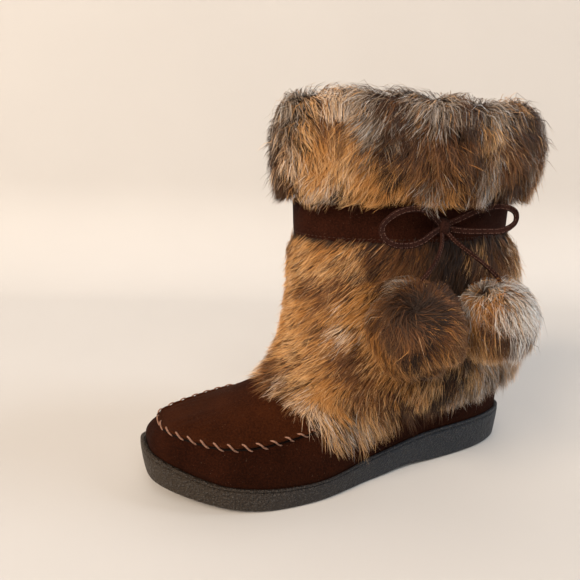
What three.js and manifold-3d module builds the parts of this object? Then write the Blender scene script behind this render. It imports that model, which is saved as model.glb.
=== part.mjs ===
// A winter boot for the left foot: suede foot on a rubber wedge sole, fur shaft, fur cuff over a
// suede band, and a lace bow with two pompoms. Millimetres, +Z up, toe towards -Y, outer side +X,
// and the sole's flat underside on z = 0.
import * as THREE from "three";
import { mergeVertices } from "three/addons/utils/BufferGeometryUtils.js";
import Module from "manifold-3d";

const wasm = await Module();
wasm.setup();

// Driving dimensions
const LENGTH = 268; // outsole, toe to heel
const BALL_HALF = 52.5; // outsole half width at the ball
const HEEL_HALF = 36; // outsole half width at the heel
const TIP_SHIFT = 9.5; // the toe's swing towards the inner side
const END_POWER = 0.62; // how square the outline's two ends are
const WALL = 2.4; // suede with its lining
const GAP = 0.35; // room between pieces that meet
const RIM_DEPTH = 5; // how deep the upper stands inside the sole's rim
const INSOLE_THICK = 3.6;
const UNDER_INSET = 1.6; // the underside is narrower than the rim by this much all round
const TOE_SPRING = 10;
const ARCH_LIFT = 1.6;
const EDGE_ROUND = 3.2; // radius where the sole's side turns under
const APRON_THICK = 1.4;
const SEAM_RIDGE = 1.3; // how far the apron's gathered edge stands above the apron
const GATHER = 0.35; // depth of the puckers along that edge
const BAND_THICK = 2.6;
const BAND_LOW = 13.02; // section numbers between which the band runs
const BAND_HIGH = 14;
const COLLAR = 16; // section number of the upper's top edge
const FRONT_PILE = 9; // depth of the shaft's fur in front and behind
const BACK_PILE = 19;
const CUFF_PILE = 17; // depth of the cuff's fur in front
const LOCK_THICK = 4.5;
const PLUMB = 0.9; // how much locks hang straight down rather than along the boot's own lines
const LACE_WIDE = 4;
const LACE_THICK = 2.4;
const POMPOM_RADIUS = 28.5;
const POMPOM_LOCKS = 16;
const FUR_QUARTER = 7; // steps in each quarter of the way round the fur
const FUR_GAP = 1.1; // the fur's steps are longer than the upper's, so it stands further off
const QUARTER = 9; // steps in each quarter of the way round the boot

// Half widths of the outsole, as shares of the heel and ball half widths. at: 0 heel, 1 toe.
const OUTLINE = [
  { at: 0, of: HEEL_HALF, outer: 0.94, inner: 0.94 },
  { at: 0.12, of: HEEL_HALF, outer: 1.0, inner: 0.98 },
  { at: 0.3, of: HEEL_HALF, outer: 0.98, inner: 0.93 },
  { at: 0.45, of: BALL_HALF, outer: 0.75, inner: 0.72 },
  { at: 0.66, of: BALL_HALF, outer: 1.0, inner: 0.93 },
  { at: 0.82, of: BALL_HALF, outer: 1.08, inner: 0.98 },
  { at: 1, of: BALL_HALF, outer: 0.83, inner: 0.84 },
];

// Height of the sole's rim along the boot.
const RIM = [
  { at: 0, z: 25.6 },
  { at: 0.25, z: 24.8 },
  { at: 0.45, z: 19.4 },
  { at: 0.65, z: 14.6 },
  { at: 0.85, z: 18.4 },
  { at: 1, z: 29.6 },
];

// The upper's sections, from the sole to the collar. Each is a closed loop through a back point
// and a front point. heelIn and ballIn are insets from the outsole's outline, half and power shape
// the oval that takes over, oval is its share, and dip is how much of the rim's own curve is kept.
const SECTIONS = [
  { backY: 130.4, backZ: 20.9, frontY: -130.2, frontZ: 25.2, heelIn: 3.4, ballIn: 3.4, half: 40, power: 0.7, oval: 0, dip: 1 },
  { backY: 131.6, backZ: 28.5, frontY: -130.4, frontZ: 32.6, heelIn: 2.4, ballIn: 2.2, half: 40, power: 0.7, oval: 0, dip: 0.97 },
  { backY: 132.0, backZ: 37, frontY: -127.2, frontZ: 38.6, heelIn: 2.2, ballIn: 3.2, half: 40, power: 0.7, oval: 0, dip: 0.66 },
  { backY: 131.8, backZ: 45, frontY: -121.4, frontZ: 42.8, heelIn: 2.8, ballIn: 8.4, half: 42, power: 0.72, oval: 0.1, dip: 0.16 },
  { backY: 131.0, backZ: 52, frontY: -112.0, frontZ: 45.8, heelIn: 4, ballIn: 12.5, half: 40, power: 0.76, oval: 0.4, dip: 0.06 },
  { backY: 129.6, backZ: 59, frontY: -99.0, frontZ: 48.2, heelIn: 5, ballIn: 16, half: 39, power: 0.8, oval: 0.7, dip: 0.02 },
  { backY: 127.6, backZ: 66, frontY: -84.0, frontZ: 51.2, heelIn: 5, ballIn: 18, half: 38.6, power: 0.83, oval: 0.9, dip: 0 },
  { backY: 125.2, backZ: 73, frontY: -69.5, frontZ: 55.6, heelIn: 5, ballIn: 18, half: 38.6, power: 0.86, oval: 1, dip: 0 },
  { backY: 122.8, backZ: 81, frontY: -56.0, frontZ: 62.2, heelIn: 5, ballIn: 18, half: 38.8, power: 0.88, oval: 1, dip: 0 },
  { backY: 120.6, backZ: 90, frontY: -45.0, frontZ: 72, heelIn: 5, ballIn: 18, half: 39.4, power: 0.9, oval: 1, dip: 0 },
  { backY: 118.8, backZ: 101, frontY: -36.6, frontZ: 85.5, heelIn: 5, ballIn: 18, half: 40.4, power: 0.92, oval: 1, dip: 0 },
  { backY: 117.4, backZ: 117, frontY: -31.4, frontZ: 105.5, heelIn: 5, ballIn: 18, half: 42.2, power: 0.94, oval: 1, dip: 0 },
  { backY: 116.6, backZ: 136, frontY: -29.4, frontZ: 131, heelIn: 5, ballIn: 18, half: 44.8, power: 0.96, oval: 1, dip: 0 },
  { backY: 116.4, backZ: 158, frontY: -30.4, frontZ: 158, heelIn: 5, ballIn: 18, half: 46.8, power: 0.97, oval: 1, dip: 0 },
  { backY: 117.4, backZ: 181, frontY: -31.6, frontZ: 181, heelIn: 5, ballIn: 18, half: 48.4, power: 0.97, oval: 1, dip: 0 },
  { backY: 119.2, backZ: 206, frontY: -32.4, frontZ: 206, heelIn: 5, ballIn: 18, half: 50, power: 0.97, oval: 1, dip: 0 },
  { backY: 120.6, backZ: 231, frontY: -33.0, frontZ: 231, heelIn: 5, ballIn: 18, half: 51, power: 0.97, oval: 1, dip: 0 },
];

// The two edges on the foot, as section numbers along the boot: the apron's seam, and the line
// where the fur begins.
const SEAM = [
  { at: 0.64, section: 3.5 },
  { at: 0.72, section: 3.2 },
  { at: 0.8, section: 2.85 },
  { at: 0.9, section: 2.68 },
  { at: 1, section: 2.85 },
];
const FUR_EDGE = [
  { at: 0, section: 4.1 },
  { at: 0.22, section: 3.9 },
  { at: 0.42, section: 3.4 },
  { at: 0.55, section: 3.05 },
  { at: 0.63, section: 3.3 },
  { at: 0.69, section: 4.3 },
  { at: 0.76, section: 5.5 },
  { at: 0.83, section: 6.5 },
  { at: 0.9, section: 7.3 },
  { at: 0.97, section: 7.9 },
  { at: 1, section: 8.1 },
];

// Rows of locks, each on the pile at a share of the shaft's height or at a section of the cuff.
const SHAFT_LOCKS = [
  { share: 0.06, out: 0.3, count: 22, reach: 19, lean: 0.15, wide: 9 },
  { share: 0.36, out: 0.75, count: 7, reach: 34, lean: 0.42, wide: 15 },
  { share: 0.66, out: 0.75, count: 8, reach: 36, lean: 0.42, wide: 15 },
  { share: 0.92, out: 0.5, count: 7, reach: 34, lean: 0.7, wide: 15 },
];
const CUFF_LOCKS = [
  { section: 14.3, out: 0.5, count: 20, reach: 15, lean: 0.25, wide: 9 },
  { section: 15.1, out: 0.84, count: 8, reach: 32, lean: 0.36, wide: 15 },
  { section: 15.85, out: 0.84, count: 8, reach: 32, lean: 0.36, wide: 15 },
];

// The lace lies on the band. Each loop leaves the knot and comes back to it, and each tail runs
// down to its pompom. The routes are set by hand.
const KNOT = { x: 53.6, y: 35, z: 169 };
const FRONT_POMPOM = { x: 73, y: 6.5, z: 113 };
const REAR_POMPOM = { x: 73, y: 67, z: 114 };
const FRONT_LOOP = {
  steps: 12,
  route: [
    [55.4, 33, 170.3], [57.5, 27, 174.5], [59.5, 16, 180], [60, 6, 180], [60, -3, 177], [59.5, -9, 171],
    [60, -8, 165], [61, -2, 161], [61.5, 7, 160], [61, 16, 161.5], [58.6, 25, 165.5], [55.4, 33, 168.3],
  ],
};
const REAR_LOOP = {
  steps: 12,
  route: [
    [55.4, 37, 170.3], [57.3, 45.5, 174], [59, 58, 179], [60, 69, 180.5], [60, 79, 179.5], [59, 85.5, 176],
    [59, 86, 171.5], [60, 81, 168], [61, 72, 166], [60.5, 61, 166], [58.6, 48, 166.5], [55.4, 37, 168.3],
  ],
};
const FRONT_TAIL = {
  steps: 5,
  route: [[55.4, 34, 167], [60, 31.5, 161], [65, 26, 154], [69, 18.5, 147.5], [71.8, 11, 141.5], [72.8, 7.6, 136.4]],
};
const REAR_TAIL = {
  steps: 5,
  route: [[55.4, 36.4, 167], [60, 41, 161], [65, 48.5, 154.5], [69, 56, 148], [71.8, 62.5, 142], [72.8, 65.8, 137.4]],
};

// Smooth curve through a table's column, without overshoot between its rows.
function column(table, key, from = "at") {
  const x = table.map((row, i) => (from === "row" ? i : row[from]));
  const y = table.map((row) => row[key]);
  const step = x.slice(1).map((value, i) => value - x[i]);
  const rise = step.map((width, i) => (y[i + 1] - y[i]) / width);
  const slope = y.map((_, i) => {
    if (i === 0) return rise[0];
    if (i === y.length - 1) return rise[i - 1];
    if (rise[i - 1] * rise[i] <= 0) return 0;
    const before = 2 * step[i] + step[i - 1];
    const after = step[i] + 2 * step[i - 1];
    return (before + after) / (before / rise[i - 1] + after / rise[i]);
  });
  return (value) => {
    const at = THREE.MathUtils.clamp(value, x[0], x[x.length - 1]);
    let i = 0;
    while (i < step.length - 1 && at > x[i + 1]) i++;
    const t = (at - x[i]) / step[i];
    return (
      y[i] * (1 + 2 * t) * (1 - t) ** 2 +
      slope[i] * step[i] * t * (1 - t) ** 2 +
      y[i + 1] * t * t * (3 - 2 * t) +
      slope[i + 1] * step[i] * t * t * (t - 1)
    );
  };
}

const widths = OUTLINE.map((row) => ({ at: row.at, outer: row.of * row.outer, inner: row.of * row.inner }));
const outerHalf = column(widths, "outer");
const innerHalf = column(widths, "inner");
const rimHeight = column(RIM, "z");
const seamSection = column(SEAM, "section");
const furSection = column(FUR_EDGE, "section");
const section = Object.fromEntries(
  Object.keys(SECTIONS[0]).map((key) => [key, column(SECTIONS, key, "row")]),
);

const { lerp, smoothstep } = THREE.MathUtils;

// Share of the way from heel to toe at an angle round the boot: 0 is the heel, pi the toe.
const along = (angle) => (1 - Math.cos(angle)) / 2;
const swing = (y) => -TIP_SHIFT * THREE.MathUtils.clamp((-y - 26.8) / 107.2, 0, 1.1) ** 2;
const sideHalf = (at, angle) => (Math.sin(angle) >= 0 ? outerHalf(at) : innerHalf(at));
const signedPower = (value, power) => Math.sign(value) * Math.abs(value) ** power;

// A point of the outsole's outline, drawn in by inset.
function outlinePoint(angle, inset) {
  const at = along(angle);
  const y = (LENGTH / 2 - inset) * (1 - 2 * at);
  const half = sideHalf(at, angle) - inset;
  return { x: half * signedPower(Math.sin(angle), END_POWER) + swing(y), y, at };
}

// A point on the upper's outer face, by section number and angle round the boot.
function facePoint(number, angle) {
  const at = along(angle);
  const y = lerp(section.backY(number), section.frontY(number), at);
  const oval = section.oval(number);
  const inset = lerp(section.heelIn(number), section.ballIn(number), smoothstep(at, 0.25, 0.7));
  const half = lerp(sideHalf(at, angle) - inset, section.half(number), oval);
  const power = lerp(END_POWER, section.power(number), oval);
  const straight = lerp(RIM[0].z, RIM[RIM.length - 1].z, at);
  const z =
    lerp(section.backZ(number), section.frontZ(number), at) +
    section.dip(number) * (rimHeight(at) - straight);
  return new THREE.Vector3(half * signedPower(Math.sin(angle), power) + swing(y), y, z);
}

// The same point moved out along the face's normal, or in where out is negative.
function upperPoint(number, angle, out = 0) {
  const point = facePoint(number, angle);
  if (out === 0) return point;
  const low = Math.max(number - 0.15, 0);
  const high = Math.min(number + 0.15, COLLAR);
  const up = facePoint(high, angle).sub(facePoint(low, angle));
  const round = facePoint(number, angle + 0.05).sub(facePoint(number, angle - 0.05));
  return point.addScaledVector(up.cross(round).normalize(), out);
}

const range = (count) => Array.from({ length: count }, (_, i) => i);

// Angles round the boot, closer together at heel and toe, where the outline turns.
const stepsRound = (quarter) =>
  range(4 * quarter).map((i) => {
    const turn = Math.floor(i / quarter);
    const share = (i % quarter) / quarter;
    const eased = (t) => 0.55 * t + 0.45 * t * t;
    return (Math.PI / 2) * (turn + (turn % 2 ? 1 - eased(1 - share) : eased(share)));
  });
const ROUND = stepsRound(QUARTER);

// A closed mesh from rings of points. Rings join in order, and the last joins the first when the
// stack is a loop; otherwise each end is closed by rungs between points at equal distance from its start.
function ringSolid(rings, loop = false) {
  const count = rings[0].length;
  const positions = rings.flat().flatMap((p) => [p.x, p.y, p.z]);
  const faces = [];
  const stack = loop ? rings.length : rings.length - 1;
  for (const r of range(stack)) {
    const next = ((r + 1) % rings.length) * count;
    for (const i of range(count)) {
      const j = (i + 1) % count;
      faces.push(r * count + i, r * count + j, next + j, r * count + i, next + j, next + i);
    }
  }
  if (!loop) {
    const last = (rings.length - 1) * count;
    for (const i of range(count / 2)) {
      const [a, b, c, d] = [i, i + 1, count - 1 - i, (count - i) % count];
      if (b !== c) {
        faces.push(a, c, b);
        faces.push(last + a, last + b, last + c);
      }
      if (a !== d) {
        faces.push(a, d, c);
        faces.push(last + a, last + c, last + d);
      }
    }
  }
  return solidFrom(positions, faces);
}

// A closed sheet of some thickness from two grids of points, outer and inner, grid[row][column].
function sheetSolid(outer, inner) {
  const rows = outer.length;
  const columns = outer[0].length;
  const positions = [...outer.flat(), ...inner.flat()].flatMap((p) => [p.x, p.y, p.z]);
  const under = rows * columns;
  const faces = [];
  const quad = (a, b, c, d) => faces.push(a, b, c, a, c, d);
  for (const r of range(rows - 1))
    for (const c of range(columns - 1)) {
      const a = r * columns + c;
      quad(a, a + 1, a + columns + 1, a + columns);
      quad(under + a, under + a + columns, under + a + columns + 1, under + a + 1);
    }
  for (const c of range(columns - 1)) {
    const top = (rows - 1) * columns + c;
    quad(c, under + c, under + c + 1, c + 1);
    quad(top, top + 1, under + top + 1, under + top);
  }
  for (const r of range(rows - 1)) {
    const left = r * columns;
    const right = left + columns - 1;
    quad(left, left + columns, under + left + columns, under + left);
    quad(right, under + right, under + right + columns, right + columns);
  }
  return solidFrom(positions, faces);
}

// A manifold solid from positions and faces, turned to face out.
function solidFrom(positions, faces) {
  const geometry = new THREE.BufferGeometry();
  geometry.setAttribute("position", new THREE.Float32BufferAttribute(positions, 3));
  geometry.setIndex(faces);
  return solidOf(geometry);
}

function solidOf(geometry) {
  const bare = geometry.clone();
  bare.deleteAttribute("normal");
  bare.deleteAttribute("uv");
  const merged = mergeVertices(bare, 1e-4);
  const index = Array.from(merged.index.array);
  const position = merged.attributes.position;
  const corner = (i) => new THREE.Vector3().fromBufferAttribute(position, i);
  const kept = [];
  let volume = 0;
  for (let i = 0; i < index.length; i += 3) {
    const [a, b, c] = index.slice(i, i + 3);
    if (a === b || b === c || a === c) continue;
    kept.push([a, b, c]);
    volume += corner(a).dot(corner(b).cross(corner(c)));
  }
  const triVerts = new Uint32Array(kept.flatMap(([a, b, c]) => (volume < 0 ? [a, c, b] : [a, b, c])));
  return new wasm.Manifold(
    new wasm.Mesh({ numProp: 3, vertProperties: new Float32Array(position.array), triVerts }),
  );
}

function geometryOf(solid) {
  const mesh = solid.getMesh();
  const geometry = new THREE.BufferGeometry();
  geometry.setAttribute("position", new THREE.Float32BufferAttribute(Array.from(mesh.vertProperties), 3));
  geometry.setIndex(Array.from(mesh.triVerts));
  return geometry;
}

// Underside height of the sole along the boot: flat at heel and ball, arch between, toe spring.
function underHeight(at) {
  const arch = Math.sin(Math.PI * THREE.MathUtils.clamp((at - 0.27) / 0.19, 0, 1)) ** 2;
  return ARCH_LIFT * arch + TOE_SPRING * THREE.MathUtils.clamp((at - 0.73) / 0.27, 0, 1) ** 1.7;
}

// The sole: side wall with a rounded lower edge, a rim, and the recess that takes the upper.
function makeOutsole() {
  const ring = (height, inset) =>
    ROUND.map((angle) => {
      const p = outlinePoint(angle, inset);
      return new THREE.Vector3(p.x, p.y, height(p.at));
    });
  const floorHeight = (at) => rimHeight(at) - RIM_DEPTH;
  const recess = (drop) =>
    ROUND.map((angle) => {
      const p = upperPoint(drop === 0 ? 0.62 : 0.05, angle, GAP);
      return new THREE.Vector3(p.x, p.y, (drop === 0 ? rimHeight : floorHeight)(along(angle)));
    });
  const share = (part) => (at) => lerp(underHeight(at), rimHeight(at), part);
  const body = ringSolid([
    ring(underHeight, UNDER_INSET + EDGE_ROUND),
    ring((at) => underHeight(at) + 0.3 * EDGE_ROUND, UNDER_INSET + 0.35 * EDGE_ROUND),
    ring((at) => underHeight(at) + EDGE_ROUND, UNDER_INSET * 0.75),
    ring(share(0.62), 0.35),
    ring(share(0.92), 0),
    ring(rimHeight, 0.9),
    recess(0),
    recess(1),
  ]);
  return GROOVES.flatMap(grooveTools).reduce((solid, tool) => solid.subtract(tool), body);
}

// Tread grooves across the underside: from and to are places along the boot.
const GROOVES = [
  { from: 0.06, to: 0.26, count: 5 },
  { from: 0.56, to: 0.9, count: 8 },
];
const GROOVE_WIDE = 4;
const GROOVE_DEEP = 2;
const GROOVE_MARGIN = 9;

function grooveTools({ from, to, count }) {
  return range(count).map((i) => {
    const at = lerp(from, to, i / (count - 1));
    const angle = Math.acos(1 - 2 * at);
    const left = outlinePoint(-angle, GROOVE_MARGIN);
    const right = outlinePoint(angle, GROOVE_MARGIN);
    const slope = (underHeight(at + 0.01) - underHeight(at - 0.01)) / (0.02 * LENGTH);
    const box = new THREE.BoxGeometry(right.x - left.x, GROOVE_WIDE, 2 * GROOVE_DEEP);
    box.rotateX(-Math.atan(slope));
    box.translate((left.x + right.x) / 2, right.y, underHeight(at));
    return solidOf(box);
  });
}

// Rings on the upper's outer face or at a distance from it.
const UPPER_ROWS = [0, 0.6, 1.5, 2.4, 3.3, 4.4, 5.6, 6.8, 8, 9.2, 10.4, 12, 13, 14, COLLAR];
const ringAt = (number, out, { lift = 0, round = ROUND } = {}) =>
  round.map((angle) => upperPoint(number, angle, out).add(new THREE.Vector3(0, 0, lift)));
const ringsAt = (out, round) => UPPER_ROWS.map((number) => ringAt(number, out, { round }));

// The upper: one wall from inside the sole's rim to the collar.
function makeUpper() {
  return ringSolid([...ringsAt(0), ...ringsAt(-WALL).reverse()], true);
}

// The room that the upper's wall takes, which the pieces lying on it are cut by.
function makeWallRoom(gap, round) {
  const over = (out) => ringAt(COLLAR, out, { lift: gap, round });
  const inner = ringsAt(-WALL - gap, round).reverse();
  return ringSolid([...ringsAt(gap, round), over(gap), over(-WALL - gap), ...inner], true);
}
const wallRoom = makeWallRoom(GAP, ROUND);

// The insole lies in the sole's recess, inside the upper.
function makeInsole() {
  const ring = (lift, inset) =>
    ROUND.map((angle) => {
      const p = upperPoint(0, angle, -WALL - GAP - inset);
      return new THREE.Vector3(p.x, p.y, rimHeight(along(angle)) - RIM_DEPTH + GAP + lift);
    });
  return ringSolid([ring(0, 0.6), ring(INSOLE_THICK - 0.8, 0), ring(INSOLE_THICK, 0.8)]);
}

// The apron: a suede overlay on the vamp, between its gathered seam and the fur's edge. room widens
// it, to cut its place in the fur.
function makeApron(room = 0) {
  const start = 0.66 - 0.08 * room;
  const half = 15;
  const columns = range(2 * half + 1).map((i) => {
    const side = (i - half) / half;
    const angle = Math.acos(1 - 2 * lerp(1, start, Math.abs(side) ** 1.25));
    return side < 0 ? 2 * Math.PI - angle : angle;
  });
  const rows = [
    { section: 0, share: 0, rise: SEAM_RIDGE },
    { section: 0.25, share: 0.2, rise: SEAM_RIDGE },
    { section: 0.45, share: 0.35, rise: 0.2 },
    { section: 9, share: 0.65, rise: 0 },
    { section: 9, share: 1, rise: 0 },
  ];
  const grid = (thick) =>
    rows.map(({ section: most, share, rise }) =>
      columns.map((angle, i) => {
        const low = seamSection(along(angle)) - 0.2 * room;
        const width = Math.max(furSection(along(angle)) - 0.1 - low, 0.12) + 0.7 * room;
        const gather = room === 0 && rise === SEAM_RIDGE && i % 2 ? GATHER : 0;
        const out = thick ? GAP + APRON_THICK + rise - gather + 2 * room : -1;
        return upperPoint(low + Math.min(most, share * width), angle, out);
      }),
    );
  return sheetSolid(grid(true), grid(false));
}

// The suede band round the shaft, between shaft fur and cuff.
function makeBand() {
  const ring = (number, out) => ringAt(number, out);
  const out = GAP + BAND_THICK;
  return ringSolid([ring(BAND_LOW, GAP), ring(BAND_LOW, out), ring(BAND_HIGH, out), ring(BAND_HIGH, GAP)], true);
}

// A tapered lock of fur from root to tip, bowed through belly, wide across and flat.
function makeLock(root, belly, tip, normal, wide, thick) {
  const cone = new THREE.ConeGeometry(1, 1, 3, 2);
  cone.translate(0, 0.5, 0);
  const path = new THREE.QuadraticBezierCurve3(root, belly, tip);
  const side = new THREE.Vector3().crossVectors(tip.clone().sub(root), normal).normalize();
  const position = cone.attributes.position;
  const vertex = new THREE.Vector3();
  for (const i of range(position.count)) {
    vertex.fromBufferAttribute(position, i);
    const full = vertex.y > 0.4 && vertex.y < 0.6 ? 1.6 : 0.8;
    const p = path
      .getPoint(vertex.y)
      .addScaledVector(side, vertex.x * wide * full)
      .addScaledVector(normal, vertex.z * thick * full);
    position.setXYZ(i, p.x, p.y, p.z);
  }
  return solidOf(cone);
}

// Even but irregular numbers between 0 and 1, one for each lock.
const scatter = (i, k = 1) => (Math.sin(i * 12.9898 * k + k * 78.233) * 43758.5453) % 1;
const spread = (i, k) => Math.abs(scatter(i, k));

const FUR_ROUND = stepsRound(FUR_QUARTER);
const furWallRoom = makeWallRoom(FUR_GAP, FUR_ROUND);

// How deep the pile stands: least in front, most behind.
const pileDepth = (angle) => lerp(FRONT_PILE, BACK_PILE, (1 - along(angle)) ** 1.3);
const cuffDepth = (angle) => CUFF_PILE * lerp(1, 1.18, 1 - along(angle));

// The shaft's fur, from its edge on the foot up to the band.
function makeShaftFur() {
  const rows = [
    { share: 0, depth: 0.22 },
    { share: 0.06, depth: 0.55 },
    { share: 0.2, depth: 0.85 },
    { share: 0.5, depth: 1 },
    { share: 0.8, depth: 1 },
    { share: 0.94, depth: 0.75 },
    { share: 1, depth: 0.25 },
  ];
  const numberAt = (angle, share) => lerp(furSection(along(angle)), BAND_LOW - 0.02, share);
  const outer = rows.map(({ share, depth }) =>
    FUR_ROUND.map((angle) => upperPoint(numberAt(angle, share), angle, depth * pileDepth(angle))),
  );
  const inner = [1, 0.5, 0].map((share) => FUR_ROUND.map((angle) => upperPoint(numberAt(angle, share), angle, -1)));
  const locks = SHAFT_LOCKS.flatMap((row, k) =>
    range(row.count).map((i) => {
      const angle = (2 * Math.PI * (i + 0.5 * (k % 2) + 0.35 * spread(i, k + 2))) / row.count;
      return hangLock(numberAt(angle, row.share), angle, row, pileDepth(angle), 0.8 + 0.5 * spread(i, k + 5));
    }),
  );
  const room = [FRONT_POMPOM, REAR_POMPOM].map((centre) => makeBall(centre, 1.06 * POMPOM_RADIUS + GAP, 1));
  const pile = join(ringSolid([...outer, ...inner], true), locks);
  return clear(pile, [furWallRoom, makeApron(GAP), ...room, ...laceRoom]);
}

// A lock that hangs on the face of the pile: out is its root's share of the pile's depth, reach its
// length, lean how far its tip stands off.
function hangLock(number, angle, { out, reach, lean, wide }, depth, stretch) {
  const face = upperPoint(number, angle, 0);
  const normal = upperPoint(number, angle, 1).sub(face).normalize();
  const root = upperPoint(number, angle, out * depth);
  const along = face.clone().sub(upperPoint(Math.min(number + 0.5, COLLAR - 0.1), angle, 0));
  const down = along.normalize().add(new THREE.Vector3(0, 0, -PLUMB));
  down.addScaledVector(normal, -down.dot(normal)).normalize();
  const tip = root.clone().addScaledVector(down, reach * stretch).addScaledVector(normal, lean * depth);
  const belly = root.clone().lerp(tip, 0.45).addScaledVector(normal, 0.25 * depth);
  return makeLock(root, belly, tip, normal, wide, LOCK_THICK);
}

const join = (body, others) => others.reduce((solid, other) => solid.add(other), body);

// Cuts the rooms of a piece's neighbours from it, and drops the chips that this leaves loose.
function clear(body, rooms) {
  const cut = rooms.reduce((solid, room) => solid.subtract(room), body);
  return cut.decompose().reduce((most, chip) => (chip.volume() > most.volume() ? chip : most));
}

// The cuff's section: outer leg, rolled top and the short leg inside the collar. out is a share of
// the pile, lift a height above the collar's edge.
const CUFF_PROFILE = [
  { section: 14.03, out: -0.05, lift: 0 },
  { section: 14.02, out: 0.5, lift: 0 },
  { section: 14.22, out: 0.9, lift: 0 },
  { section: 14.9, out: 1.08, lift: 0 },
  { section: 15.7, out: 1.08, lift: 0 },
  { section: 16, out: 0.86, lift: 7 },
  { section: 16, out: 0.3, lift: 14 },
  { section: 16, out: -0.3, lift: 10 },
  { section: 15.9, out: -0.58, lift: 0 },
  { section: 15.4, out: -0.4, lift: 0 },
  { section: 15.35, out: -0.08, lift: 0 },
];

function makeCuff() {
  const rings = CUFF_PROFILE.map(({ section: number, out, lift }) =>
    FUR_ROUND.map((angle) => {
      const depth = out > 0 ? cuffDepth(angle) : CUFF_PILE;
      return upperPoint(number, angle, out * depth).add(new THREE.Vector3(0, 0, lift));
    }),
  );
  const locks = CUFF_LOCKS.flatMap((row, k) =>
    range(row.count).map((i) => {
      const angle = (2 * Math.PI * (i + 0.5 * (k % 2) + 0.35 * spread(i, k + 11))) / row.count;
      return hangLock(row.section, angle, row, cuffDepth(angle), 0.8 + 0.5 * spread(i, k + 15));
    }),
  );
  return clear(join(ringSolid(rings, true), locks), [furWallRoom, ...laceRoom]);
}

function makeBall(centre, radius, detail) {
  const ball = new THREE.IcosahedronGeometry(radius, detail);
  ball.translate(centre.x, centre.y, centre.z);
  return solidOf(ball);
}

// A pompom: a ball of fur with locks swept round it.
function makePompom(place, seed) {
  const centre = new THREE.Vector3(place.x, place.y, place.z);
  const golden = Math.PI * (3 - Math.sqrt(5));
  const locks = range(POMPOM_LOCKS).map((i) => {
    const up = 1 - (2 * (i + 0.5)) / POMPOM_LOCKS;
    const radius = Math.sqrt(1 - up * up);
    const way = new THREE.Vector3(radius * Math.cos(golden * i + seed), radius * Math.sin(golden * i + seed), up);
    const swirl = new THREE.Vector3(-way.y, way.x, -0.6).cross(way).cross(way).negate().normalize();
    const at = (out, turn) => centre.clone().addScaledVector(way, POMPOM_RADIUS * out).addScaledVector(swirl, turn);
    return makeLock(at(0.55, -6), at(0.98, 2), at(0.84, 14), way, 8, LOCK_THICK);
  });
  return clear(join(makeBall(centre, POMPOM_RADIUS * 0.88, 1), locks), tailRoom);
}

// One length of the lace along its route; extra widens and lengthens it, to cut room for it.
function makeLace({ route, steps }, extra = 0) {
  const points = route.map(([x, y, z]) => new THREE.Vector3(x, y, z));
  const [before, last] = points.slice(-2);
  last.addScaledVector(last.clone().sub(before).normalize(), extra);
  const path = new THREE.CatmullRomCurve3(points);
  const outline = new THREE.Shape(
    range(8).map((i) => {
      const turn = (Math.PI * (i + 0.5)) / 4;
      const [thick, wide] = [LACE_THICK / 2 + extra, LACE_WIDE / 2 + extra];
      return new THREE.Vector2(Math.cos(turn) * thick, Math.sin(turn) * wide);
    }),
  );
  return solidOf(new THREE.ExtrudeGeometry(outline, { steps, extrudePath: path }));
}

function makeKnot(extra = 0) {
  const knot = new THREE.SphereGeometry(1, 8, 6);
  knot.scale(3.2 + extra, 4.6 + extra, 3.8 + extra);
  knot.translate(KNOT.x, KNOT.y, KNOT.z);
  return solidOf(knot);
}

// A loop starts and ends in the knot, and a tail under it and in its pompom, less the room between.
const knotRoom = makeKnot(GAP);
const loopRoom = [FRONT_LOOP, REAR_LOOP].map((part) => makeLace(part, GAP));
const tailRoom = [FRONT_TAIL, REAR_TAIL].map((part) => makeLace(part, GAP));
const laceRoom = [knotRoom, ...loopRoom, ...tailRoom];

const PIECES = [
  { name: "outsole", make: makeOutsole, colour: "#3b3833", roughness: 0.8 },
  { name: "upper", make: makeUpper, colour: "#3d2016", roughness: 0.95 },
  { name: "insole", make: makeInsole, colour: "#b39873", roughness: 1 },
  { name: "apron", make: () => clear(makeApron(), [wallRoom]), colour: "#43241a", roughness: 0.95 },
  { name: "band", make: makeBand, colour: "#3d2016", roughness: 0.95 },
  { name: "fur_shaft", make: makeShaftFur, colour: "#8f6b45", roughness: 1 },
  { name: "fur_cuff", make: makeCuff, colour: "#86705a", roughness: 1 },
  { name: "bow_knot", make: makeKnot, colour: "#35201a", roughness: 0.9 },
  { name: "bow_loop_front", make: () => clear(makeLace(FRONT_LOOP), [knotRoom]), colour: "#35201a", roughness: 0.9 },
  { name: "bow_loop_rear", make: () => clear(makeLace(REAR_LOOP), [knotRoom]), colour: "#35201a", roughness: 0.9 },
  { name: "lace_tail_front", make: () => clear(makeLace(FRONT_TAIL), [knotRoom, ...loopRoom]), colour: "#35201a", roughness: 0.9 },
  { name: "lace_tail_rear", make: () => clear(makeLace(REAR_TAIL), [knotRoom, ...loopRoom]), colour: "#35201a", roughness: 0.9 },
  { name: "pompom_front", make: () => makePompom(FRONT_POMPOM, 0), colour: "#8a6547", roughness: 1 },
  { name: "pompom_rear", make: () => makePompom(REAR_POMPOM, 2), colour: "#a3a098", roughness: 1 },
];

const boot = new THREE.Group();
for (const { name, make, colour, roughness } of PIECES) {
  const material = new THREE.MeshStandardMaterial({ color: colour, roughness, metalness: 0 });
  const mesh = new THREE.Mesh(geometryOf(make()), material);
  mesh.name = name;
  boot.add(mesh);
}

export default boot;
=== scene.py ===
"""A left winter boot: suede foot on a rubber wedge sole, fur shaft, fur cuff, lace bow and pompoms."""

import logging
import math
from dataclasses import dataclass, field
from enum import Enum
from typing import Callable, Sequence

import bpy
import numpy as np
from mathutils import Matrix, Vector


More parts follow.
